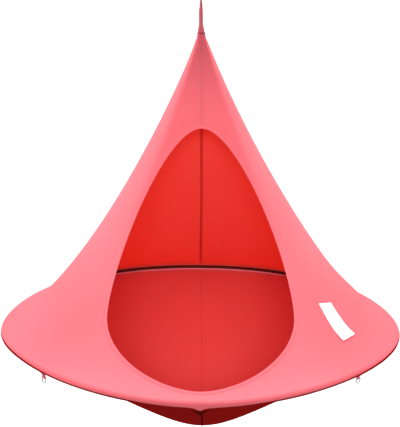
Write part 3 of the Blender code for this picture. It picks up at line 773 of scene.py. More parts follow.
def skin_piece(name, parts, finishes, thickness, body, outer_is_up=False):
    """One skin of cloth from several grids welded together, with its thickness behind its outer face.

    Each part names the place of its outer finish in the list. Its inner finish is the next one.
    """
    build = bmesh.new()
    for outer, (points, faces) in parts:
        corners = [build.verts.new(settled(p)) for p in points]
        for face in faces:
            build.faces.new([corners[i] for i in face]).material_index = outer
    bmesh.ops.remove_doubles(build, verts=build.verts, dist=1e-5)
    bmesh.ops.recalc_face_normals(build, faces=build.faces)
    slant = sum(face.normal.z * face.calc_area() for face in build.faces)
    if outer_is_up and slant < 0:
        bmesh.ops.reverse_faces(build, faces=build.faces)
    mesh = bpy.data.meshes.new(name)
    build.to_mesh(mesh)
    build.free()
    mesh.shade_smooth()
    for finish in finishes:
        mesh.materials.append(finish)
    made = placed(name, mesh)
    solid = made.modifiers.new("thickness", "SOLIDIFY")
    solid.thickness = thickness
    solid.offset = -1
    solid.use_even_offset = True
    solid.material_offset = 1
    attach(made, body)
    return made


CORAL_DARK, CORAL = (0.605, 0.106, 0.129), (0.67, 0.131, 0.157)
CORAL_THROUGH = (0.92, 0.125, 0.060)
# Painted shade: the floor's underside and the hoop's lower side take a near-black copy of the floor's red,
# for the shade below the tent.
UNDERSIDE_RED_SHADED_DARK, UNDERSIDE_RED_SHADED = (0.155, 0.0044, 0.0036), (0.215, 0.0064, 0.0052)
# The outer coral carries painted shade towards the neck and the rim.
coral_out = cloth_finish(
    "coral_cloth", CORAL_DARK, CORAL, 0.85, through=CORAL_THROUGH, share=0.30, shade=PAINTED_NECK_AND_RIM_SHADE
)
# Painted light: the canopy's inner face takes a lighter, redder copy of the coral, for the light inside the
# tent.
CORAL_INSIDE_LIT_DARK, CORAL_INSIDE_LIT = (0.75, 0.128, 0.106), (0.83, 0.158, 0.132)
coral_in_painted_light = cloth_finish(
    "coral_cloth_inside", CORAL_INSIDE_LIT_DARK, CORAL_INSIDE_LIT, 0.85, through=CORAL_THROUGH, share=0.45
)
floor_cloth_out_shaded = cloth_finish(
    "floor_cloth_underside_painted_shade", UNDERSIDE_RED_SHADED_DARK, UNDERSIDE_RED_SHADED, 0.9, threads=600.0, sheen=0.0, gloss=0.0
)
# The floor's inside keeps its lit red, under the painted shade towards the back.
FLOOR_INSIDE_RED_DARK, FLOOR_INSIDE_RED = (0.72, 0.098, 0.096), (0.80, 0.119, 0.117)
floor_cloth_in = cloth_finish(
    "floor_cloth_inside", FLOOR_INSIDE_RED_DARK, FLOOR_INSIDE_RED, 0.9, threads=600.0, shade=PAINTED_SHADE_TOWARDS_BACK
)
canopy = skin_piece(
    "canopy",
    [(0, canopy_front()), (0, canopy_back()), (0, gathers()), (0, sleeve(False)), (2, sleeve(True))],
    [coral_out, coral_in_painted_light, floor_cloth_out_shaded, floor_cloth_in],
    CLOTH,
    "tent",
)
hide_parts(*(f"canopy_{quarter}" for quarter in QUARTERS))
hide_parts(*(f"hoop_sleeve_{quarter}" for quarter in QUARTERS))
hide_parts("gather_collar")

# Doorway hem. A folded strip of the canopy's cloth grips the cut edge on both faces. Its fold is a
# narrow soft roll, and the strip lies flat from there to the stitched furrow that holds it.
HEM_WIDTH = 0.0108
HEM_SKIN = 0.0009
HEM_CLEAR = 0.0002
HEM_FURROW = 0.0085
HEM_FLAT_FROM = -1.00
HEM_FLAT_FULL = -0.75
HEM_STEPS = 60
HEM_THINNEST = 0.4
THREAD_SINKS = 0.0003
FINE_THREADS = 1500.0
STITCH_PITCH = 0.0038
STITCH_LENGTH = 0.0029
STITCH_HALF = 0.0005
STITCH_RISE = 0.0004


def sewing_thread(name, dark, light):
    return cloth_finish(name, dark, light, 0.7, threads=FINE_THREADS)


def stitches(line, rise=STITCH_RISE):
    """Separate stitches of thread along a line of places, each a point and the way out there."""
    reach = [0.0]
    for (point, _), (ahead, _) in zip(line, line[1:]):
        reach.append(reach[-1] + (ahead - point).length)

    def place_at(distance):
        i = min(bisect.bisect_right(reach, distance), len(line) - 1)
        share = (distance - reach[i - 1]) / (reach[i] - reach[i - 1])
        return line[i - 1][0].lerp(line[i][0], share), line[i - 1][1]

    points, faces = [], []
    for k in range(int(reach[-1] / STITCH_PITCH)):
        start, outward = place_at(k * STITCH_PITCH)
        end, _ = place_at(k * STITCH_PITCH + STITCH_LENGTH)
        side = STITCH_HALF * (end - start).cross(outward).normalized()
        near, far = start.lerp(end, 0.25), start.lerp(end, 0.75)
        top = rise * outward
        n = len(points)
        points += [start, near - side, near + top, near + side, far - side, far + top, far + side, end]
        faces += [(n, n + 1, n + 2), (n, n + 2, n + 3), (n, n + 3, n + 1), (n + 1, n + 4, n + 5, n + 2)]
        faces += [(n + 2, n + 5, n + 6, n + 3), (n + 3, n + 6, n + 4, n + 1)]
        faces += [(n + 7, n + 5, n + 4), (n + 7, n + 6, n + 5), (n + 7, n + 4, n + 6)]
    return points, faces


def hem_section(skin):
    """The hem's section, as (away from the opening, out of the canopy)."""
    top, foot = HEM_CLEAR, -CLOTH - HEM_CLEAR
    middle = (top + foot) / 2
    upper = [
        (HEM_WIDTH, top),
        (HEM_WIDTH, top + 0.5 * skin),
        (HEM_FURROW + 0.0012, top + 0.8 * skin),
        (HEM_FURROW + 0.0006, top + 0.3 * skin),
        (HEM_FURROW - 0.0006, top + 0.3 * skin),
        (HEM_FURROW - 0.0014, top + 0.9 * skin),
        (0.0044, top + 0.9 * skin),
        (0.0032, top + 1.1 * skin),
        (0.0020, top + 1.7 * skin),
        (0.0006, top + 1.8 * skin),
        (-0.0007, top + 1.4 * skin),
        (-0.0014, top + 0.5 * skin),
    ]
    nose = [(-0.0016, middle)]
    lower = [(away, 2 * middle - out) for away, out in reversed(upper)]
    channel = [(-HEM_CLEAR, foot), (-HEM_CLEAR, top)]
    return upper + nose + lower + channel


def hem_ring():
    """Frames round the doorway's edge: a point, the way out and the way away from the opening."""
    places = [canopy_frame(*place) for place in doorway_places(HEM_STEPS)]
    ring = []
    for i, (point, outward, _) in enumerate(places):
        ahead = places[(i + 1) % len(places)][0] - places[i - 1][0]
        ring.append((point, outward, ahead.cross(outward).normalized()))
    return ring


def hem_fullness(height):
    """1 low down, where the hem is full, and 0 towards the top, where it is thin."""
    return 1 - smooth_step(HEM_FLAT_FROM, HEM_FLAT_FULL, height)


def hem_skin(height):
    return HEM_SKIN * (HEM_THINNEST + (1 - HEM_THINNEST) * hem_fullness(height))


def hem_shape():
    points = []
    ring = hem_ring()
    for point, outward, away in ring:
        section = hem_section(hem_skin(point.z))
        points += [point + a * away + o * outward for a, o in section]
    return points, grid_faces(len(ring), len(section), closed_columns=True, closed_rows=True)


def hem_thread_line():
    """The line of the sewing thread in the furrow. It sinks into the cloth where the hem is thin."""
    line = []
    for point, outward, away in hem_ring():
        foot = HEM_CLEAR + 0.32 * hem_skin(point.z) - THREAD_SINKS * (1 - hem_fullness(point.z))
        line.append((point + HEM_FURROW * away + foot * outward, outward))
    return [*line, line[0]]


coral_hem = cloth_finish(
    "coral_hem", (0.65, 0.109, 0.132), (0.72, 0.135, 0.161), 0.85,
    depth=0.00015, through=CORAL_THROUGH, share=0.30,
)
hem = piece("door_hem", *hem_shape(), coral_hem, "tent", "canopy_fabric")
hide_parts("door_binding")
coral_thread = sewing_thread("coral_thread", (0.20, 0.019, 0.026), (0.29, 0.030, 0.039))
hem_thread = piece("hem_thread", *stitches(hem_thread_line()), coral_thread, "tent", "canopy_fabric")

# Seams of the canopy. Each is felled flat outside, with two rows of stitches, and covered inside by
# a darker tape. The front one ends above the doorway.
SEAM_WIDTH = 0.009
SEAM_RISE = 0.0005
TAPE_WIDTH = 0.009
TAPE_SKIN = 0.0008
TAPE_UNDER = -CLOTH - 0.0003
SEAM_FOOT = 0.988
SEAM_NARROW_WITHIN = 0.05
STITCH_ROWS = (-0.36, 0.36)


def flat_section(half, low, high):
    """The section of a flat strip with soft edges, as (across, up)."""
    edge = 0.92 * half
    return [(-half, low), (-edge, high), (0, high), (edge, high), (half, low), (0, low)]


def strip_faces(columns, rows):
    """Faces along a strip, with both its ends closed."""
    last = (columns - 1) * rows
    ends = [tuple(range(rows)), tuple(last + k for k in range(rows))]
    return grid_faces(columns, rows, closed_rows=True) + ends


def strip_along(angle, first, last, width, low, high, steps=90):
    """Points and faces of a flat strip that follows the canopy down one angle."""
    section = flat_section(width / 2, low, high)
    points = []
    for i in range(steps + 1):
        share = first + (last - first) * i / steps
        point, outward, across = canopy_frame(angle, share)
        narrow = min(1.0, math.hypot(point.x, point.y) / SEAM_NARROW_WITHIN)
        points += [point + a * narrow * across + o * outward for a, o in section]
    return points, strip_faces(steps + 1, len(section))


def joined(parts):
    """Several shapes as one list of points and one of faces."""
    points, faces = [], []
    for more_points, more_faces in parts:
        offset = len(points)
        points += more_points
        faces += [tuple(offset + i for i in face) for face in more_faces]
    return points, faces


def seam_row(angle, first, last, reach):
    """The line of one row of stitches down a seam, that far from its middle as a share of its width."""
    line = []
    for i in range(121):
        point, outward, across = canopy_frame(angle, first + (last - first) * i / 120)
        line.append((point + reach * SEAM_WIDTH * across + (SEAM_RISE - 0.0001) * outward, outward))
    return line


# The seams carry the same painted shade as the coral round them.
coral_seam = cloth_finish(
    "coral_seam", (0.61, 0.101, 0.123), (0.68, 0.125, 0.150), 0.85,
    through=CORAL_THROUGH, share=0.30, shade=PAINTED_NECK_AND_RIM_SHADE,
)
red_tape = cloth_finish(
    "red_tape", (0.70, 0.052, 0.046), (0.78, 0.068, 0.060), 0.85,
    threads=700.0, through=(0.95, 0.10, 0.06), share=0.5,
)
seam_thread = sewing_thread("seam_thread", (0.44, 0.066, 0.080), (0.52, 0.086, 0.104))
above_door = canopy_share_at(DOOR_TOP + HEM_WIDTH + 0.004)
on_canopy = [hem, hem_thread]
for side, angle in (("front", 0), ("right", 90), ("back", 180), ("left", 270)):
    turn = math.radians(angle)
    last = above_door if side == "front" else SEAM_FOOT
    shape = strip_along(turn, 0.01, last, SEAM_WIDTH, 0.0001, SEAM_RISE)
    seam = piece(f"seam_{side}", *shape, coral_seam, "tent", "canopy_fabric")
    rows = [stitches(seam_row(turn, 0.08, last, reach)) for reach in STITCH_ROWS]
    row = piece(f"seam_stitches_{side}", *joined(rows), seam_thread, "tent", "canopy_fabric")
    shape = strip_along(turn, 0.02, last, TAPE_WIDTH, TAPE_UNDER - TAPE_SKIN, TAPE_UNDER)
    tape = piece(f"inner_tape_{side}", *shape, red_tape, "tent", "seam_tape")
    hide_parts(f"seam_tape_{side}")
    on_canopy += [seam, row, tape]

# Floor. A slack dish of heavy deep red cloth in two halves hangs from the inner side of the hoop,
# with a seam from front to back. Its rim is covered inside by a red tape and a black band.
FLOOR_DEPTH = 0.411
FLOOR_ROUNDNESS = 0.163
FLOOR_POWER = 1.178
FLOOR_ASIDE = 0.0040
FLOOR_CLOTH = 0.0012
FLOOR_RINGS = 60
floor_edge = HOOP_RADIUS - SLEEVE_SKIN - 0.0004


def floor_height(radius):
    full = math.hypot(HOOP_RADIUS, FLOOR_ROUNDNESS) - FLOOR_ROUNDNESS
    share = (math.hypot(radius, FLOOR_ROUNDNESS) - FLOOR_ROUNDNESS) / full
    return HOOP_HEIGHT - FLOOR_DEPTH * (1 - min(1, share)) ** FLOOR_POWER


def floor_point(x, y, lift=0.0):
    """A point of the floor, whose slack bottom hangs a little to the right."""
    radius = math.hypot(x, y)
    aside = FLOOR_ASIDE * (1 - (radius / floor_edge) ** 2)
    return Vector((x + aside, y, floor_height(radius) + lift))


def floor_at(angle, radius, lift=0.0):
    """A point of the floor, at an angle from the front."""
    return floor_point(radius * math.sin(angle), -radius * math.cos(angle), lift)


def floor_dish():
    points = [floor_point(0, 0)]
    faces = []
    for i, angle in enumerate(turns_round(ROUND_STEPS)):
        points += [floor_at(angle, floor_edge * (r + 1) / FLOOR_RINGS) for r in range(FLOOR_RINGS)]
        first = 1 + i * FLOOR_RINGS
        second = 1 + (i + 1) % ROUND_STEPS * FLOOR_RINGS
        faces.append((0, first, second))
        for r in range(FLOOR_RINGS - 1):
            faces.append((first + r, first + r + 1, second + r + 1, second + r))
    return points, faces


# Inside, the dish takes the floor's lit red. Outside, it takes the painted-shade near-black red.
finishes = [floor_cloth_in, floor_cloth_out_shaded]
dish = skin_piece(
    "floor_dish", [(0, floor_dish())], finishes, FLOOR_CLOTH, "tent", outer_is_up=True
)
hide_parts("floor_right", "floor_left")


def ring_strip(section_at):
    """A strip round the tent, whose section in (radius, height) may change with the angle."""
    points = []
    for angle in turns_round(ROUND_STEPS):
        section = section_at(angle)
        points += [at_angle(angle, radius, height) for radius, height in section]
    return points, grid_faces(ROUND_STEPS, len(section), closed_columns=True, closed_rows=True)


black_cloth = cloth_finish("black_tape", (0.008, 0.007, 0.007), (0.016, 0.013, 0.013), 0.8, threads=700.0)
BAND_FOOT = HOOP_HEIGHT + 0.0020
BAND_HEIGHT = 0.0078
BAND_SKIN = 0.0012
band_out = floor_edge + 0.0001
band_section = [
    (band_out, BAND_FOOT),
    (band_out - 0.7 * BAND_SKIN, BAND_FOOT + 0.06 * BAND_HEIGHT),
    (band_out - BAND_SKIN, BAND_FOOT + 0.5 * BAND_HEIGHT),
    (band_out - 0.9 * BAND_SKIN, BAND_FOOT + 0.94 * BAND_HEIGHT),
    (band_out - 0.4 * BAND_SKIN, BAND_FOOT + BAND_HEIGHT),
    (band_out, BAND_FOOT + 0.5 * BAND_HEIGHT),
]
band = piece("wall_piping", *ring_strip(lambda angle: band_section), black_cloth, "tent", "black_tape")
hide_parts("wall_band")

# Pocket of the hoop. Inside, the free edge of the sleeve is covered by a strip of the canopy's cloth,
# which leans from the black piping up to the canopy and is sewn flat against it.
POCKET_REACH = 0.0070
POCKET_SEWN = 0.0030
POCKET_SKIN = 0.0009
POCKET_CLEAR = 0.0003
POCKET_NARROW = math.radians(16)
POCKET_WIDE = math.radians(40)
# Painted light: the strip's cloth is a lighter, redder copy of the coral, for the light inside the tent.
pocket_cloth_painted_light = cloth_finish(
    "pocket_cloth_painted_light", (0.86, 0.16, 0.12), (0.92, 0.19, 0.15), 0.85, through=(0.95, 0.22, 0.15), share=0.5
)


def under_canopy(radius, lift=0.0):
    """The height of the canopy's inner face at a radius near the hoop, less a lift."""
    share = halved(0.5, 1.0, lambda share: bezier(CURVE, share).x < radius)
    return bezier(CURVE, share).y - (CLOTH + lift) / math.cos(RIM_LANDING)


def pocket_section(angle):
    """The strip's section in (radius, height). It is narrow where the doorway comes down close to it."""
    side = abs(math.remainder(angle, 2 * math.pi))
    wide = smooth_step(POCKET_NARROW, POCKET_WIDE, side)
    low = (band_out - BAND_SKIN - 0.0002, BAND_FOOT + BAND_HEIGHT + 0.0004)
    sewn_out = low[0] - POCKET_REACH * (0.15 + 0.85 * wide)
    sewn_in = sewn_out - POCKET_SEWN * (0.2 + 0.8 * wide)
    return [
        low,
        (low[0] - POCKET_SKIN, low[1] - 0.0002),
        (sewn_out - 0.0004, under_canopy(sewn_out, POCKET_CLEAR + POCKET_SKIN)),
        (sewn_in, under_canopy(sewn_in, POCKET_CLEAR + POCKET_SKIN)),
        (sewn_in - 0.0003, under_canopy(sewn_in, POCKET_CLEAR)),
        (sewn_out, under_canopy(sewn_out, POCKET_CLEAR)),
    ]


on_canopy.append(piece("pocket_strip", *ring_strip(pocket_section), pocket_cloth_painted_light, "tent", "canopy_fabric"))

# Rim of the floor. A tape covers the seam where the floor joins the sleeve. A pale rose piping runs
# along its outer edge, and its inner edge is held down by a dark red thread.
RIM_TAPE_WIDTH = 0.0155
FLOOR_TAPE_HALF = 0.0040
RIM_THREAD_INWARD = RIM_TAPE_WIDTH - 0.0010
RIM_THREAD_LIFT = 0.0009
RIM_THREAD_RISE = 0.0008
RIM_TAPE = ((0, 0.0003), (0, 0.0010), (0.004, 0.0014), (0.012, 0.0013), (0.0150, 0.0010), (0.0155, 0.0003))
ROSE_PIPING = ((0.0001, 0.0012), (0.0002, 0.0024), (0.00156, 0.0032), (0.00364, 0.0030), (0.0052, 0.0016))
rim_cloth = cloth_finish("rim_tape", (0.66, 0.085, 0.098), (0.74, 0.105, 0.120), 0.85, threads=700.0)
rose_cloth = cloth_finish("rose_piping", (0.66, 0.36, 0.44), (0.74, 0.43, 0.52), 0.85, threads=700.0)
thread_cloth = sewing_thread("dark_thread", (0.16, 0.006, 0.007), (0.22, 0.009, 0.010))
rim_out = band_out - 0.0020


def strip_on_floor(profile):
    """A strip round the floor's rim, for its section in (inward from the tape's outer edge, lift)."""
    section = [(rim_out - inward, floor_height(rim_out - inward) + lift) for inward, lift in profile]
    return ring_strip(lambda angle: section)


def rim_row():
    """The line of the row of stitches round the rim tape."""
    radius = rim_out - RIM_THREAD_INWARD
    places = [floor_at(angle, radius, RIM_THREAD_LIFT) for angle in turns_round(ROUND_STEPS)]
    return [(place, Vector((0, 0, 1))) for place in [*places, places[0]]]


def floor_strip(reach, half, low, high, steps=120):
    """A flat strip along the floor's seam, from the back rim to the front rim."""
    section = flat_section(half, low, high)
    points = []
    for i in range(steps + 1):
        y = reach * (2 * i / steps - 1)
        points += [floor_point(x, y, lift) for x, lift in section]
    return points, strip_faces(steps + 1, len(section))


rim = piece("rim_tape", *strip_on_floor(RIM_TAPE), rim_cloth, "tent", "seam_tape")
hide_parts("floor_rim_tape")
rose = piece("rose_piping", *strip_on_floor(ROSE_PIPING), rose_cloth, "tent", "seam_tape")
row = stitches(rim_row(), RIM_THREAD_RISE)
rim_thread = piece("rim_thread", *row, thread_cloth, "tent", "seam_tape")
# The floor's tape carries the same painted shade towards the back.
floor_tape_cloth = cloth_finish(
    "floor_tape", (0.70, 0.090, 0.088), (0.78, 0.110, 0.108), 0.9, threads=700.0, shade=PAINTED_SHADE_TOWARDS_BACK
)
shape = floor_strip(rim_out - RIM_TAPE_WIDTH - 0.003, FLOOR_TAPE_HALF, 0.0004, 0.0011)
floor_tape = piece("floor_tape", *shape, floor_tape_cloth, "tent", "seam_tape")
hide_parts("floor_seam_tape")

# Underside of the floor. The seam is felled there in a dark ridge. At its front end a small
# three-cornered flap of doubled cloth closes the gap in the sleeve through which the hoop goes in.
RIDGE_HALF = 0.0034
RIDGE_TOP, RIDGE_FOOT = -FLOOR_CLOTH - 0.0003, -FLOOR_CLOTH - 0.0012
FLAP_HALF = 0.031
FLAP_DROP = 0.014
FLAP_CLOTH = 0.0014
FLAP_BEFORE = 0.0060
FLAP_LAP = 0.0012
FLAP_LEAN = 0.25
FLAP_POINT = 0.8
# Painted shade: the ridge and the flap are near-black red, darker than the underside's painted shade. The
# flap hangs where a V of shade falls under the hoop's front.
under_cloth_painted_shade = cloth_finish(
    "floor_seam_cloth_painted_shade", (0.045, 0.0020, 0.0018), (0.065, 0.0030, 0.0026), 0.9,
    threads=600.0, sheen=0.0, gloss=0.0,
)
shape = floor_strip(floor_edge - 0.004, RIDGE_HALF, RIDGE_TOP, RIDGE_FOOT)
ridge = piece("floor_seam_ridge", *shape, under_cloth_painted_shade, "tent", "seam_tape")


def two_layers(columns, rows):
    """How many points each layer of a grid has, and the faces of both layers."""
    count = columns * rows
    upper = grid_faces(columns, rows)
    return count, upper + [tuple(count + i for i in reversed(face)) for face in upper]


def flap_shape():
    """The flap, hung from the sleeve's lowest line and before it, with a soft point."""
    rows, columns = 8, 20
    points = []
    for layer in (0.0, FLAP_CLOTH):
        for c in range(columns + 1):
            across = 2 * c / columns - 1
            drop = FLAP_DROP * (1 - abs(across)) ** FLAP_POINT
            for r in range(rows + 1):
                down = drop * r / rows
                inward = FLAP_LEAN * down + layer
                angle = across * FLAP_HALF / HOOP_RADIUS
                up = FLAP_LAP - SLEEVE_SKIN - sleeve_slack(angle, -math.pi / 2) - down
                points.append(on_hoop(angle, FLAP_BEFORE - inward, up))
    count, faces = two_layers(columns + 1, rows + 1)
    for c in range(columns):
        for r in (0, rows):
            first, second = c * (rows + 1) + r, (c + 1) * (rows + 1) + r
            faces.append((first, second, count + second, count + first))
    return points, faces


flap = piece("hoop_flap", *flap_shape(), under_cloth_painted_shade, "tent", "floor_fabric")

# Tag. A bare white satin label, sewn on by its upper end to the right of the doorway. It hangs in a
# slight bow, and its lower end stands a little off the cloth.
TAG_WIDTH = 0.072
TAG_LENGTH = 0.147
TAG_ANGLE = math.radians(52.6)
TAG_HEIGHT = HOOP_HEIGHT + 0.1170
TAG_TILT = math.radians(5.2)
TAG_BEND = math.radians(11.9)
TAG_SKIN = 0.0006
TAG_CLEAR = 0.0005
TAG_OFF = 0.0036
TAG_OFF_FROM = 0.55
TAG_STITCHED_AT = 0.03
TAG_CENTRE = canopy_share_at(TAG_HEIGHT)


def tag_point(across, down, lift=0.0):
    """A point of the tag's back, for shares of its width and length from its upper left corner."""
    radius = bezier(CURVE, TAG_CENTRE).x
    run = (bezier(CURVE, TAG_CENTRE + 0.01) - bezier(CURVE, TAG_CENTRE - 0.01)).length / 0.02
    u, v = (across - 0.5) * TAG_WIDTH, (down - 0.5) * TAG_LENGTH
    tilt = TAG_TILT - TAG_BEND * (down - 0.5)
    line = TAG_TILT - TAG_BEND * (down - 0.5) / 2
    turned = u * math.cos(tilt) - v * math.sin(line)
    along = u * math.sin(tilt) + v * math.cos(line)
    off = TAG_CLEAR + TAG_OFF * smooth_step(TAG_OFF_FROM, 1.0, down) ** 2
    return canopy_point(TAG_ANGLE + turned / radius, TAG_CENTRE + along / run, off + lift)


def tag_shape():
    columns, rows = 12, 24
    points = []
    for lift in (TAG_SKIN, 0):
        for c in range(columns + 1):
            points += [tag_point(c / columns, r / rows, lift) for r in range(rows + 1)]
    count, faces = two_layers(columns + 1, rows + 1)
    edge = [c * (rows + 1) for c in range(columns + 1)]
    edge += [columns * (rows + 1) + r for r in range(1, rows + 1)]
    edge += [c * (rows + 1) + rows for c in reversed(range(columns))]
    edge += [r for r in reversed(range(1, rows))]
    for i, here in enumerate(edge):
        there = edge[(i + 1) % len(edge)]
        faces.append((here, there, count + there, count + here))
    return points, faces


def tag_stitch_line():
    """The line of stitches that holds the tag by its upper end."""
    line = []
    for i in range(13):
        across = 0.06 + 0.88 * i / 12
        place = tag_point(across, TAG_STITCHED_AT, TAG_SKIN)
        above = tag_point(across, TAG_STITCHED_AT, TAG_SKIN + 0.01)
        line.append((place, (above - place).normalized()))
    return line


white_satin = cloth_finish(
    "white_satin", (0.80, 0.80, 0.79), (0.90, 0.90, 0.89), 0.5, threads=FINE_THREADS, depth=0.00006, sheen=0.1
)
grey_thread = sewing_thread("grey_thread", (0.50, 0.50, 0.50), (0.60, 0.60, 0.60))
tag = piece("tag", *tag_shape(), white_satin, "tent", "white_tag")
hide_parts("blank_tag")
tag_thread = piece("tag_thread", *stitches(tag_stitch_line()), grey_thread, "tent", "white_tag")

# Neck. A loop of webbing carries the tent. Its two legs are sewn into a cuff of the canopy's cloth,
# whose skirt flares out over the gathers and is bound tight with a stitched cord.
loop_low, loop_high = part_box("hanging_loop")
WEBBING_HALF = (loop_high.y - loop_low.y) / 2
WEBBING = 0.0022
LOOP_CROWN = 0.0014
LOOP_CROWN_WITHIN = 0.0012
LOOP_EYE = 0.0015
LOOP_EYE_DEEP = 0.024
LOOP_LEGS_MEET = 0.040
LOOP_TURN = math.radians(9)
LOOP_FOOT = -0.046
CUFF_TOP = -0.0285
CUFF_SKIRT = -0.080
CUFF_HALF_WIDE = 0.0070
CUFF_HALF_DEEP = 0.0142
CUFF_FLARE = 0.0046
CUFF_CORNERS = 0.62
CUFF_FOLDS = 11
CUFF_FOLD = 0.05
CUFF_WAVE = 0.02
CUFF_LIP = 0.10
CUFF_LAP = math.radians(-38)
CUFF_LAP_WITHIN = 0.20
CUFF_LAP_DEPTH = 0.16
CORD_TURNS = 2
CORD_RADIUS = 0.0010
CORD_PITCH = 0.0019
CORD_AROUND = 0.0138


def webbing_section():
    """Half width and half thickness of a strap's section, with soft edges."""
    section = []
    for turn in turns_round(16):
        c, s = math.cos(turn + math.pi / 16), math.sin(turn + math.pi / 16)
        across = math.copysign(abs(c) ** 0.35, c) * WEBBING_HALF
        thick = math.copysign(abs(s) ** 0.6, s) * WEBBING / 2
        section.append((across, thick))
    return section


def loop_path():
    """The strap's middle line across X and up Z, from one foot over the crown to the other."""
    crown = loop_high.z - WEBBING / 2
    right = []
    for i in range(25):
        z = LOOP_FOOT + (crown - LOOP_FOOT) * math.sin(i / 24 * math.pi / 2)
        drop = crown - z
        half = LOOP_CROWN * (1 - math.exp(-drop / LOOP_CROWN_WITHIN))
        half += LOOP_EYE * smooth_step(0, LOOP_EYE_DEEP, drop)
        half -= (LOOP_CROWN + LOOP_EYE - 0.54 * WEBBING) * smooth_step(LOOP_EYE_DEEP, LOOP_LEGS_MEET, drop)
        right.append((half, z))
    left = [(-x, z) for x, z in reversed(right[:-1])]
    return right + left


def with_runs(path, closed=False):
    """The places of a flat path, each with the direction of the path there."""
    ends = [path[-1], *path, path[0]] if closed else [path[0], *path, path[-1]]
    for place, before, after in zip(path, ends, ends[2:]):
        yield place, Vector((after[0] - before[0], after[1] - before[1])).normalized()


def strap_along(path, section):
    points = []
    twist = Matrix.Rotation(LOOP_TURN, 3, "Z")
    for (x, z), run in with_runs(path):
        side = Vector((run.y, 0, -run.x))
        points += [twist @ (Vector((x, a, z)) + t * side) for a, t in section]
    return points, strip_faces(len(path), len(section))


webbing_cloth = cloth_finish(
    "webbing", (0.28, 0.050, 0.060), (0.41, 0.078, 0.092), 0.8, threads=450.0, depth=0.0004
)
loop = piece("webbing_loop", *strap_along(loop_path(), webbing_section()), webbing_cloth, None, "webbing")
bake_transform(loop)
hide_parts("hanging_loop")


def cuff_shape():
    """The cuff, oval above and round at its skirt, lapped on its right and folded in the skirt."""
    rows, columns = 44, 72
    foot = collar_high.z - 0.0005
    points = []
    for turn in turns_round(columns):
        c, s = math.cos(turn), math.sin(turn)
        for r in range(rows + 1):
            share = r / rows
            z = CUFF_TOP + (foot - CUFF_TOP) * share
            flare = 1 - smooth_step(foot, CUFF_SKIRT, z)
            half_x = CUFF_HALF_WIDE + 0.0007 * share + flare * CUFF_FLARE
            half_y = CUFF_HALF_DEEP - flare * 0.0004
            soft = CUFF_CORNERS + (1 - CUFF_CORNERS) * flare
            x = math.copysign(abs(c) ** soft, c) * half_x
            y = math.copysign(abs(s) ** soft, s) * half_y
            fold = 1 + CUFF_FOLD * flare * math.sin(CUFF_FOLDS * turn)
            fold += CUFF_WAVE * math.sin(4 * turn + 3 * share)
            lap = math.remainder(turn - CUFF_LAP, 2 * math.pi) / CUFF_LAP_WITHIN
            fold -= CUFF_LAP_DEPTH * (1 - 0.6 * share) * math.exp(-lap * lap)
            lip = 1 - CUFF_LIP * (1 - smooth_step(0, 0.03, share))
            points.append(Vector((x * fold * lip, y * fold * lip, z)))
    faces = grid_faces(columns, rows + 1, closed_columns=True)
    faces.append(tuple(i * (rows + 1) for i in range(columns)))
    faces.append(tuple(i * (rows + 1) + rows for i in range(columns)))
    return points, faces


# Painted shade: the cuff's coral is about half as bright as the canopy's, shade painted at the neck.
cuff_cloth_painted_shade = cloth_finish("cuff_cloth_painted_shade", (0.26, 0.045, 0.057), (0.36, 0.065, 0.081), 0.85, threads=700.0)
cuff = piece("cuff", *cuff_shape(), cuff_cloth_painted_shade, None, "webbing")
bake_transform(cuff)
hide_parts("neck_cuff")


def binding_shape():
    """The cord wound tight over the gathers, as two turns side by side."""
    steps, sides = 48, 8
    parts = []
    for wound in range(CORD_TURNS):
        points = []
        for angle in turns_round(steps):
            for around in turns_round(sides):
                radius = CORD_AROUND + wound * 0.0003 + CORD_RADIUS * math.cos(around)
                z = collar_high.z - 0.0006 - wound * CORD_PITCH + CORD_RADIUS * math.sin(around)
                points.append(at_angle(angle, radius, z))
        parts.append((points, grid_faces(steps, sides, closed_columns=True, closed_rows=True)))
    return joined(parts)


cord_cloth = cloth_finish("binding_cord", (0.13, 0.008, 0.013), (0.21, 0.014, 0.021), 0.8, threads=700.0)
piece("neck_binding", *binding_shape(), cord_cloth, "tent", "webbing")

# Rings. Four steel rings hang in webbing tabs under the hoop, for guy lines. Each tab is a short
# strap folded round the ring's bar and sewn to the sleeve.
RING_WIRE = 0.003
RING_HALF = 0.0105
RING_LEG = 0.004
RING_CORNER = 0.002
RING_ANGLES = (45, 135, 225, 315)


def arc(centre, radius, first, last, steps):
    """Places along an arc in a flat drawing. Its angles are in degrees."""
    turns = [math.radians(first + (last - first) * i / steps) for i in range(steps + 1)]
    return [(centre[0] + radius * math.cos(t), centre[1] + radius * math.sin(t)) for t in turns]


def ring_path():
    """The ring's centreline across and down, from its bar round the bow."""
    corner = RING_HALF - RING_CORNER
    path = arc((corner, -RING_CORNER), RING_CORNER, 90, 0, 4)
    path += arc((0, -RING_LEG - RING_CORNER), RING_HALF, 0, -180, 24)
    path += arc((-corner, -RING_CORNER), RING_CORNER, 180, 90, 4)
    return path


def ring_shape(place, across, outward):
    path = ring_path()
    sides = 12
    points = []
    for (u, w), run in with_runs(path, closed=True):
        for turn in turns_round(sides):
            shift, rise = RING_WIRE / 2 * math.cos(turn), RING_WIRE / 2 * math.sin(turn)
            spot = (u + shift * run.y, w - shift * run.x)
            points.append(place + spot[0] * across + Vector((0, 0, spot[1])) + rise * outward)
    return points, grid_faces(len(path), sides, closed_columns=True, closed_rows=True)


def tab_path(aside, lift):
    """The strap's line outwards and up: from the sleeve round the bar and back to the sleeve."""
    pad = SLEEVE_SKIN + TAB_CLEAR
    path = arc((aside, lift), pad, -28, -84, 12)
    path += arc((0, -bar_drop), RING_WIRE / 2 + TAB_CLEAR, 38, -218, 16)
    path.append((aside - 0.0024, -pad + 0.0003 + lift))
    path += arc((aside, lift), pad, -101, -115, 5)[1:]
    return path


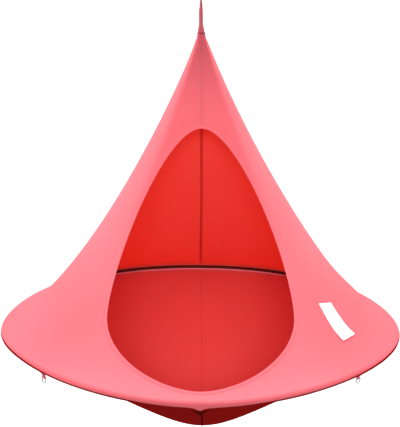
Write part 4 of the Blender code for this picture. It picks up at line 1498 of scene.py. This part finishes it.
nickel = marked_metal(
    "nickel_steel", (0.24, 0.24, 0.23), 0.30, Scale=400, Detail=3,
    Dark=(0.17, 0.167, 0.160), Light=(0.29, 0.29, 0.28), Smoothest=0.20, Spread=0.2,
)[0]
bar_drop = HOOP_HEIGHT - (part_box("d_ring_front_right")[1].z - RING_WIRE / 2)
TAB_HALF = 0.007
TAB_THICK = 0.0011
TAB_CLEAR = 0.0004
TAB_SECTION = ((-1, 0), (-0.93, TAB_THICK), (0.93, TAB_THICK), (1, 0))


def tab_shape(place, across, outward, give):
    path = tab_path(give.dot(outward), give.z)
    points = []
    for (u, w), run in with_runs(path):
        for a, t in TAB_SECTION:
            spot = (u - t * run.y, w + t * run.x)
            points.append(place + a * TAB_HALF * across + spot[0] * outward + Vector((0, 0, spot[1])))
    return points, strip_faces(len(path), len(TAB_SECTION))


tab_cloth = cloth_finish(
    "tab_webbing", (0.40, 0.055, 0.075), (0.56, 0.11, 0.135), 0.8, threads=600.0, depth=0.0003
)
for side, degrees in zip(QUARTERS, RING_ANGLES):
    angle = math.radians(degrees)
    outward = Vector((math.sin(angle), -math.cos(angle), 0))
    across = Vector((math.cos(angle), math.sin(angle), 0))
    centre = HOOP_RADIUS * outward + Vector((0, 0, HOOP_HEIGHT))
    shape = tab_shape(centre, across, outward, settled(centre) - centre)
    tab = piece(f"tab_{side}", *shape, tab_cloth, "tent", "webbing", stays=True)
    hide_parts(f"ring_tab_{side}")
    bar = centre - Vector((0, 0, bar_drop))
    shape = ring_shape(bar, across, outward)
    ring = piece(f"ring_{side}", *shape, nickel, f"ring_{side}", "ring_steel", stays=True)
    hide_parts(f"d_ring_{side}")

# Studio. A pale floor that sweeps up into a round wall, soft boxes above and at both sides, and the
# camera where the photographer stood, a little above the neck.
CAMERA_DISTANCE = 3.472
CAMERA_HEIGHT = 0.032
CAMERA_PITCH = math.radians(13.15)
CAMERA_ROLL = math.radians(-0.12)
CAMERA_LENS = 80.38
CAMERA_SHIFT = -0.0044
STUDIO_FLOOR = -3.6
STUDIO_RADIUS = 8.0
STUDIO_SWEEP = 2.5
STUDIO_TOP = 2.0
STUDIO_SIDES = 96


def soft_box(name, place, aim, size, power):
    light = bpy.data.lights.new(name, "AREA")
    light.shape = "RECTANGLE"
    light.size, light.size_y = size
    light.energy = power
    box = placed(name, light)
    box.location = place
    box.rotation_euler = (Vector(aim) - Vector(place)).to_track_quat("-Z", "Y").to_euler()


def studio_shape():
    """A round floor whose rim curves up into a wall."""
    profile = [(STUDIO_RADIUS * i / 4, STUDIO_FLOOR) for i in range(3)]
    centre = (STUDIO_RADIUS - STUDIO_SWEEP, STUDIO_FLOOR + STUDIO_SWEEP)
    profile += arc(centre, STUDIO_SWEEP, -90, 0, 16)
    profile.append((STUDIO_RADIUS, STUDIO_TOP))
    points = []
    for angle in turns_round(STUDIO_SIDES):
        points += [at_angle(angle, radius, height) for radius, height in profile]
    return points, grid_faces(STUDIO_SIDES, len(profile), closed_columns=True)


def studio_paint():
    """Pale paint on the studio's inner side. From outside the wall it is clear."""
    made, tree, shader = new_material("studio_paint", (0.55, 0.55, 0.55), 0.9)
    side = tree.nodes.new("ShaderNodeNewGeometry")
    clear = tree.nodes.new("ShaderNodeBsdfTransparent")
    both = tree.nodes.new("ShaderNodeMixShader")
    tree.links.new(side.outputs["Backfacing"], both.inputs["Fac"])
    tree.links.new(shader.outputs[0], both.inputs[1])
    tree.links.new(clear.outputs[0], both.inputs[2])
    tree.links.new(both.outputs[0], tree.nodes["Material Output"].inputs["Surface"])
    return made


mesh = bpy.data.meshes.new("studio_floor")
studio_points, studio_faces = studio_shape()
mesh.from_pydata([tuple(p) for p in studio_points], [], studio_faces)
if mesh.polygons[0].normal.z < 0:
    mesh.flip_normals()
mesh.shade_smooth()
mesh.materials.append(studio_paint())
ground = placed("studio_floor", mesh)

AIM = (0, 0, -0.8)
soft_box("top_box", (0, 2.2, 6), (0, 0, -1), (3, 3), 1036)
soft_box("left_low_box", (-3.2, -0.3, -0.2), AIM, (2.4, 2.4), 30)
soft_box("right_low_box", (3.2, -0.3, -0.2), AIM, (2.4, 2.4), 30)
soft_box("left_high_box", (-3.2, -0.3, 1.4), AIM, (2.4, 2.0), 185)
soft_box("right_high_box", (3.2, -0.3, 1.4), AIM, (2.4, 2.0), 150)
soft_box("front_box", (0, -4, 3.2), AIM, (3, 2), 102)
soft_box("camera_side_box", (0, -4.4, 0.5), AIM, (1.4, 0.8), 92)
soft_box("wall_box", (0, 3.4, -0.4), (0, 8, -2.0), (4, 1.2), 210)
world = bpy.data.worlds.new("studio")
world.use_nodes = True
background = world.node_tree.nodes["Background"]
background.inputs["Color"].default_value = (1, 1, 1, 1)
background.inputs["Strength"].default_value = 0.03
bpy.context.scene.world = world
bpy.context.scene.view_settings.view_transform = "Standard"
eye = bpy.data.cameras.new("camera")
eye.lens = CAMERA_LENS
eye.shift_x = CAMERA_SHIFT
eye.clip_end = 100
camera = placed("camera", eye)
camera.location = (0, -CAMERA_DISTANCE, CAMERA_HEIGHT)
camera.rotation_euler = (math.pi / 2 - CAMERA_PITCH, CAMERA_ROLL, 0)
bpy.context.scene.camera = camera
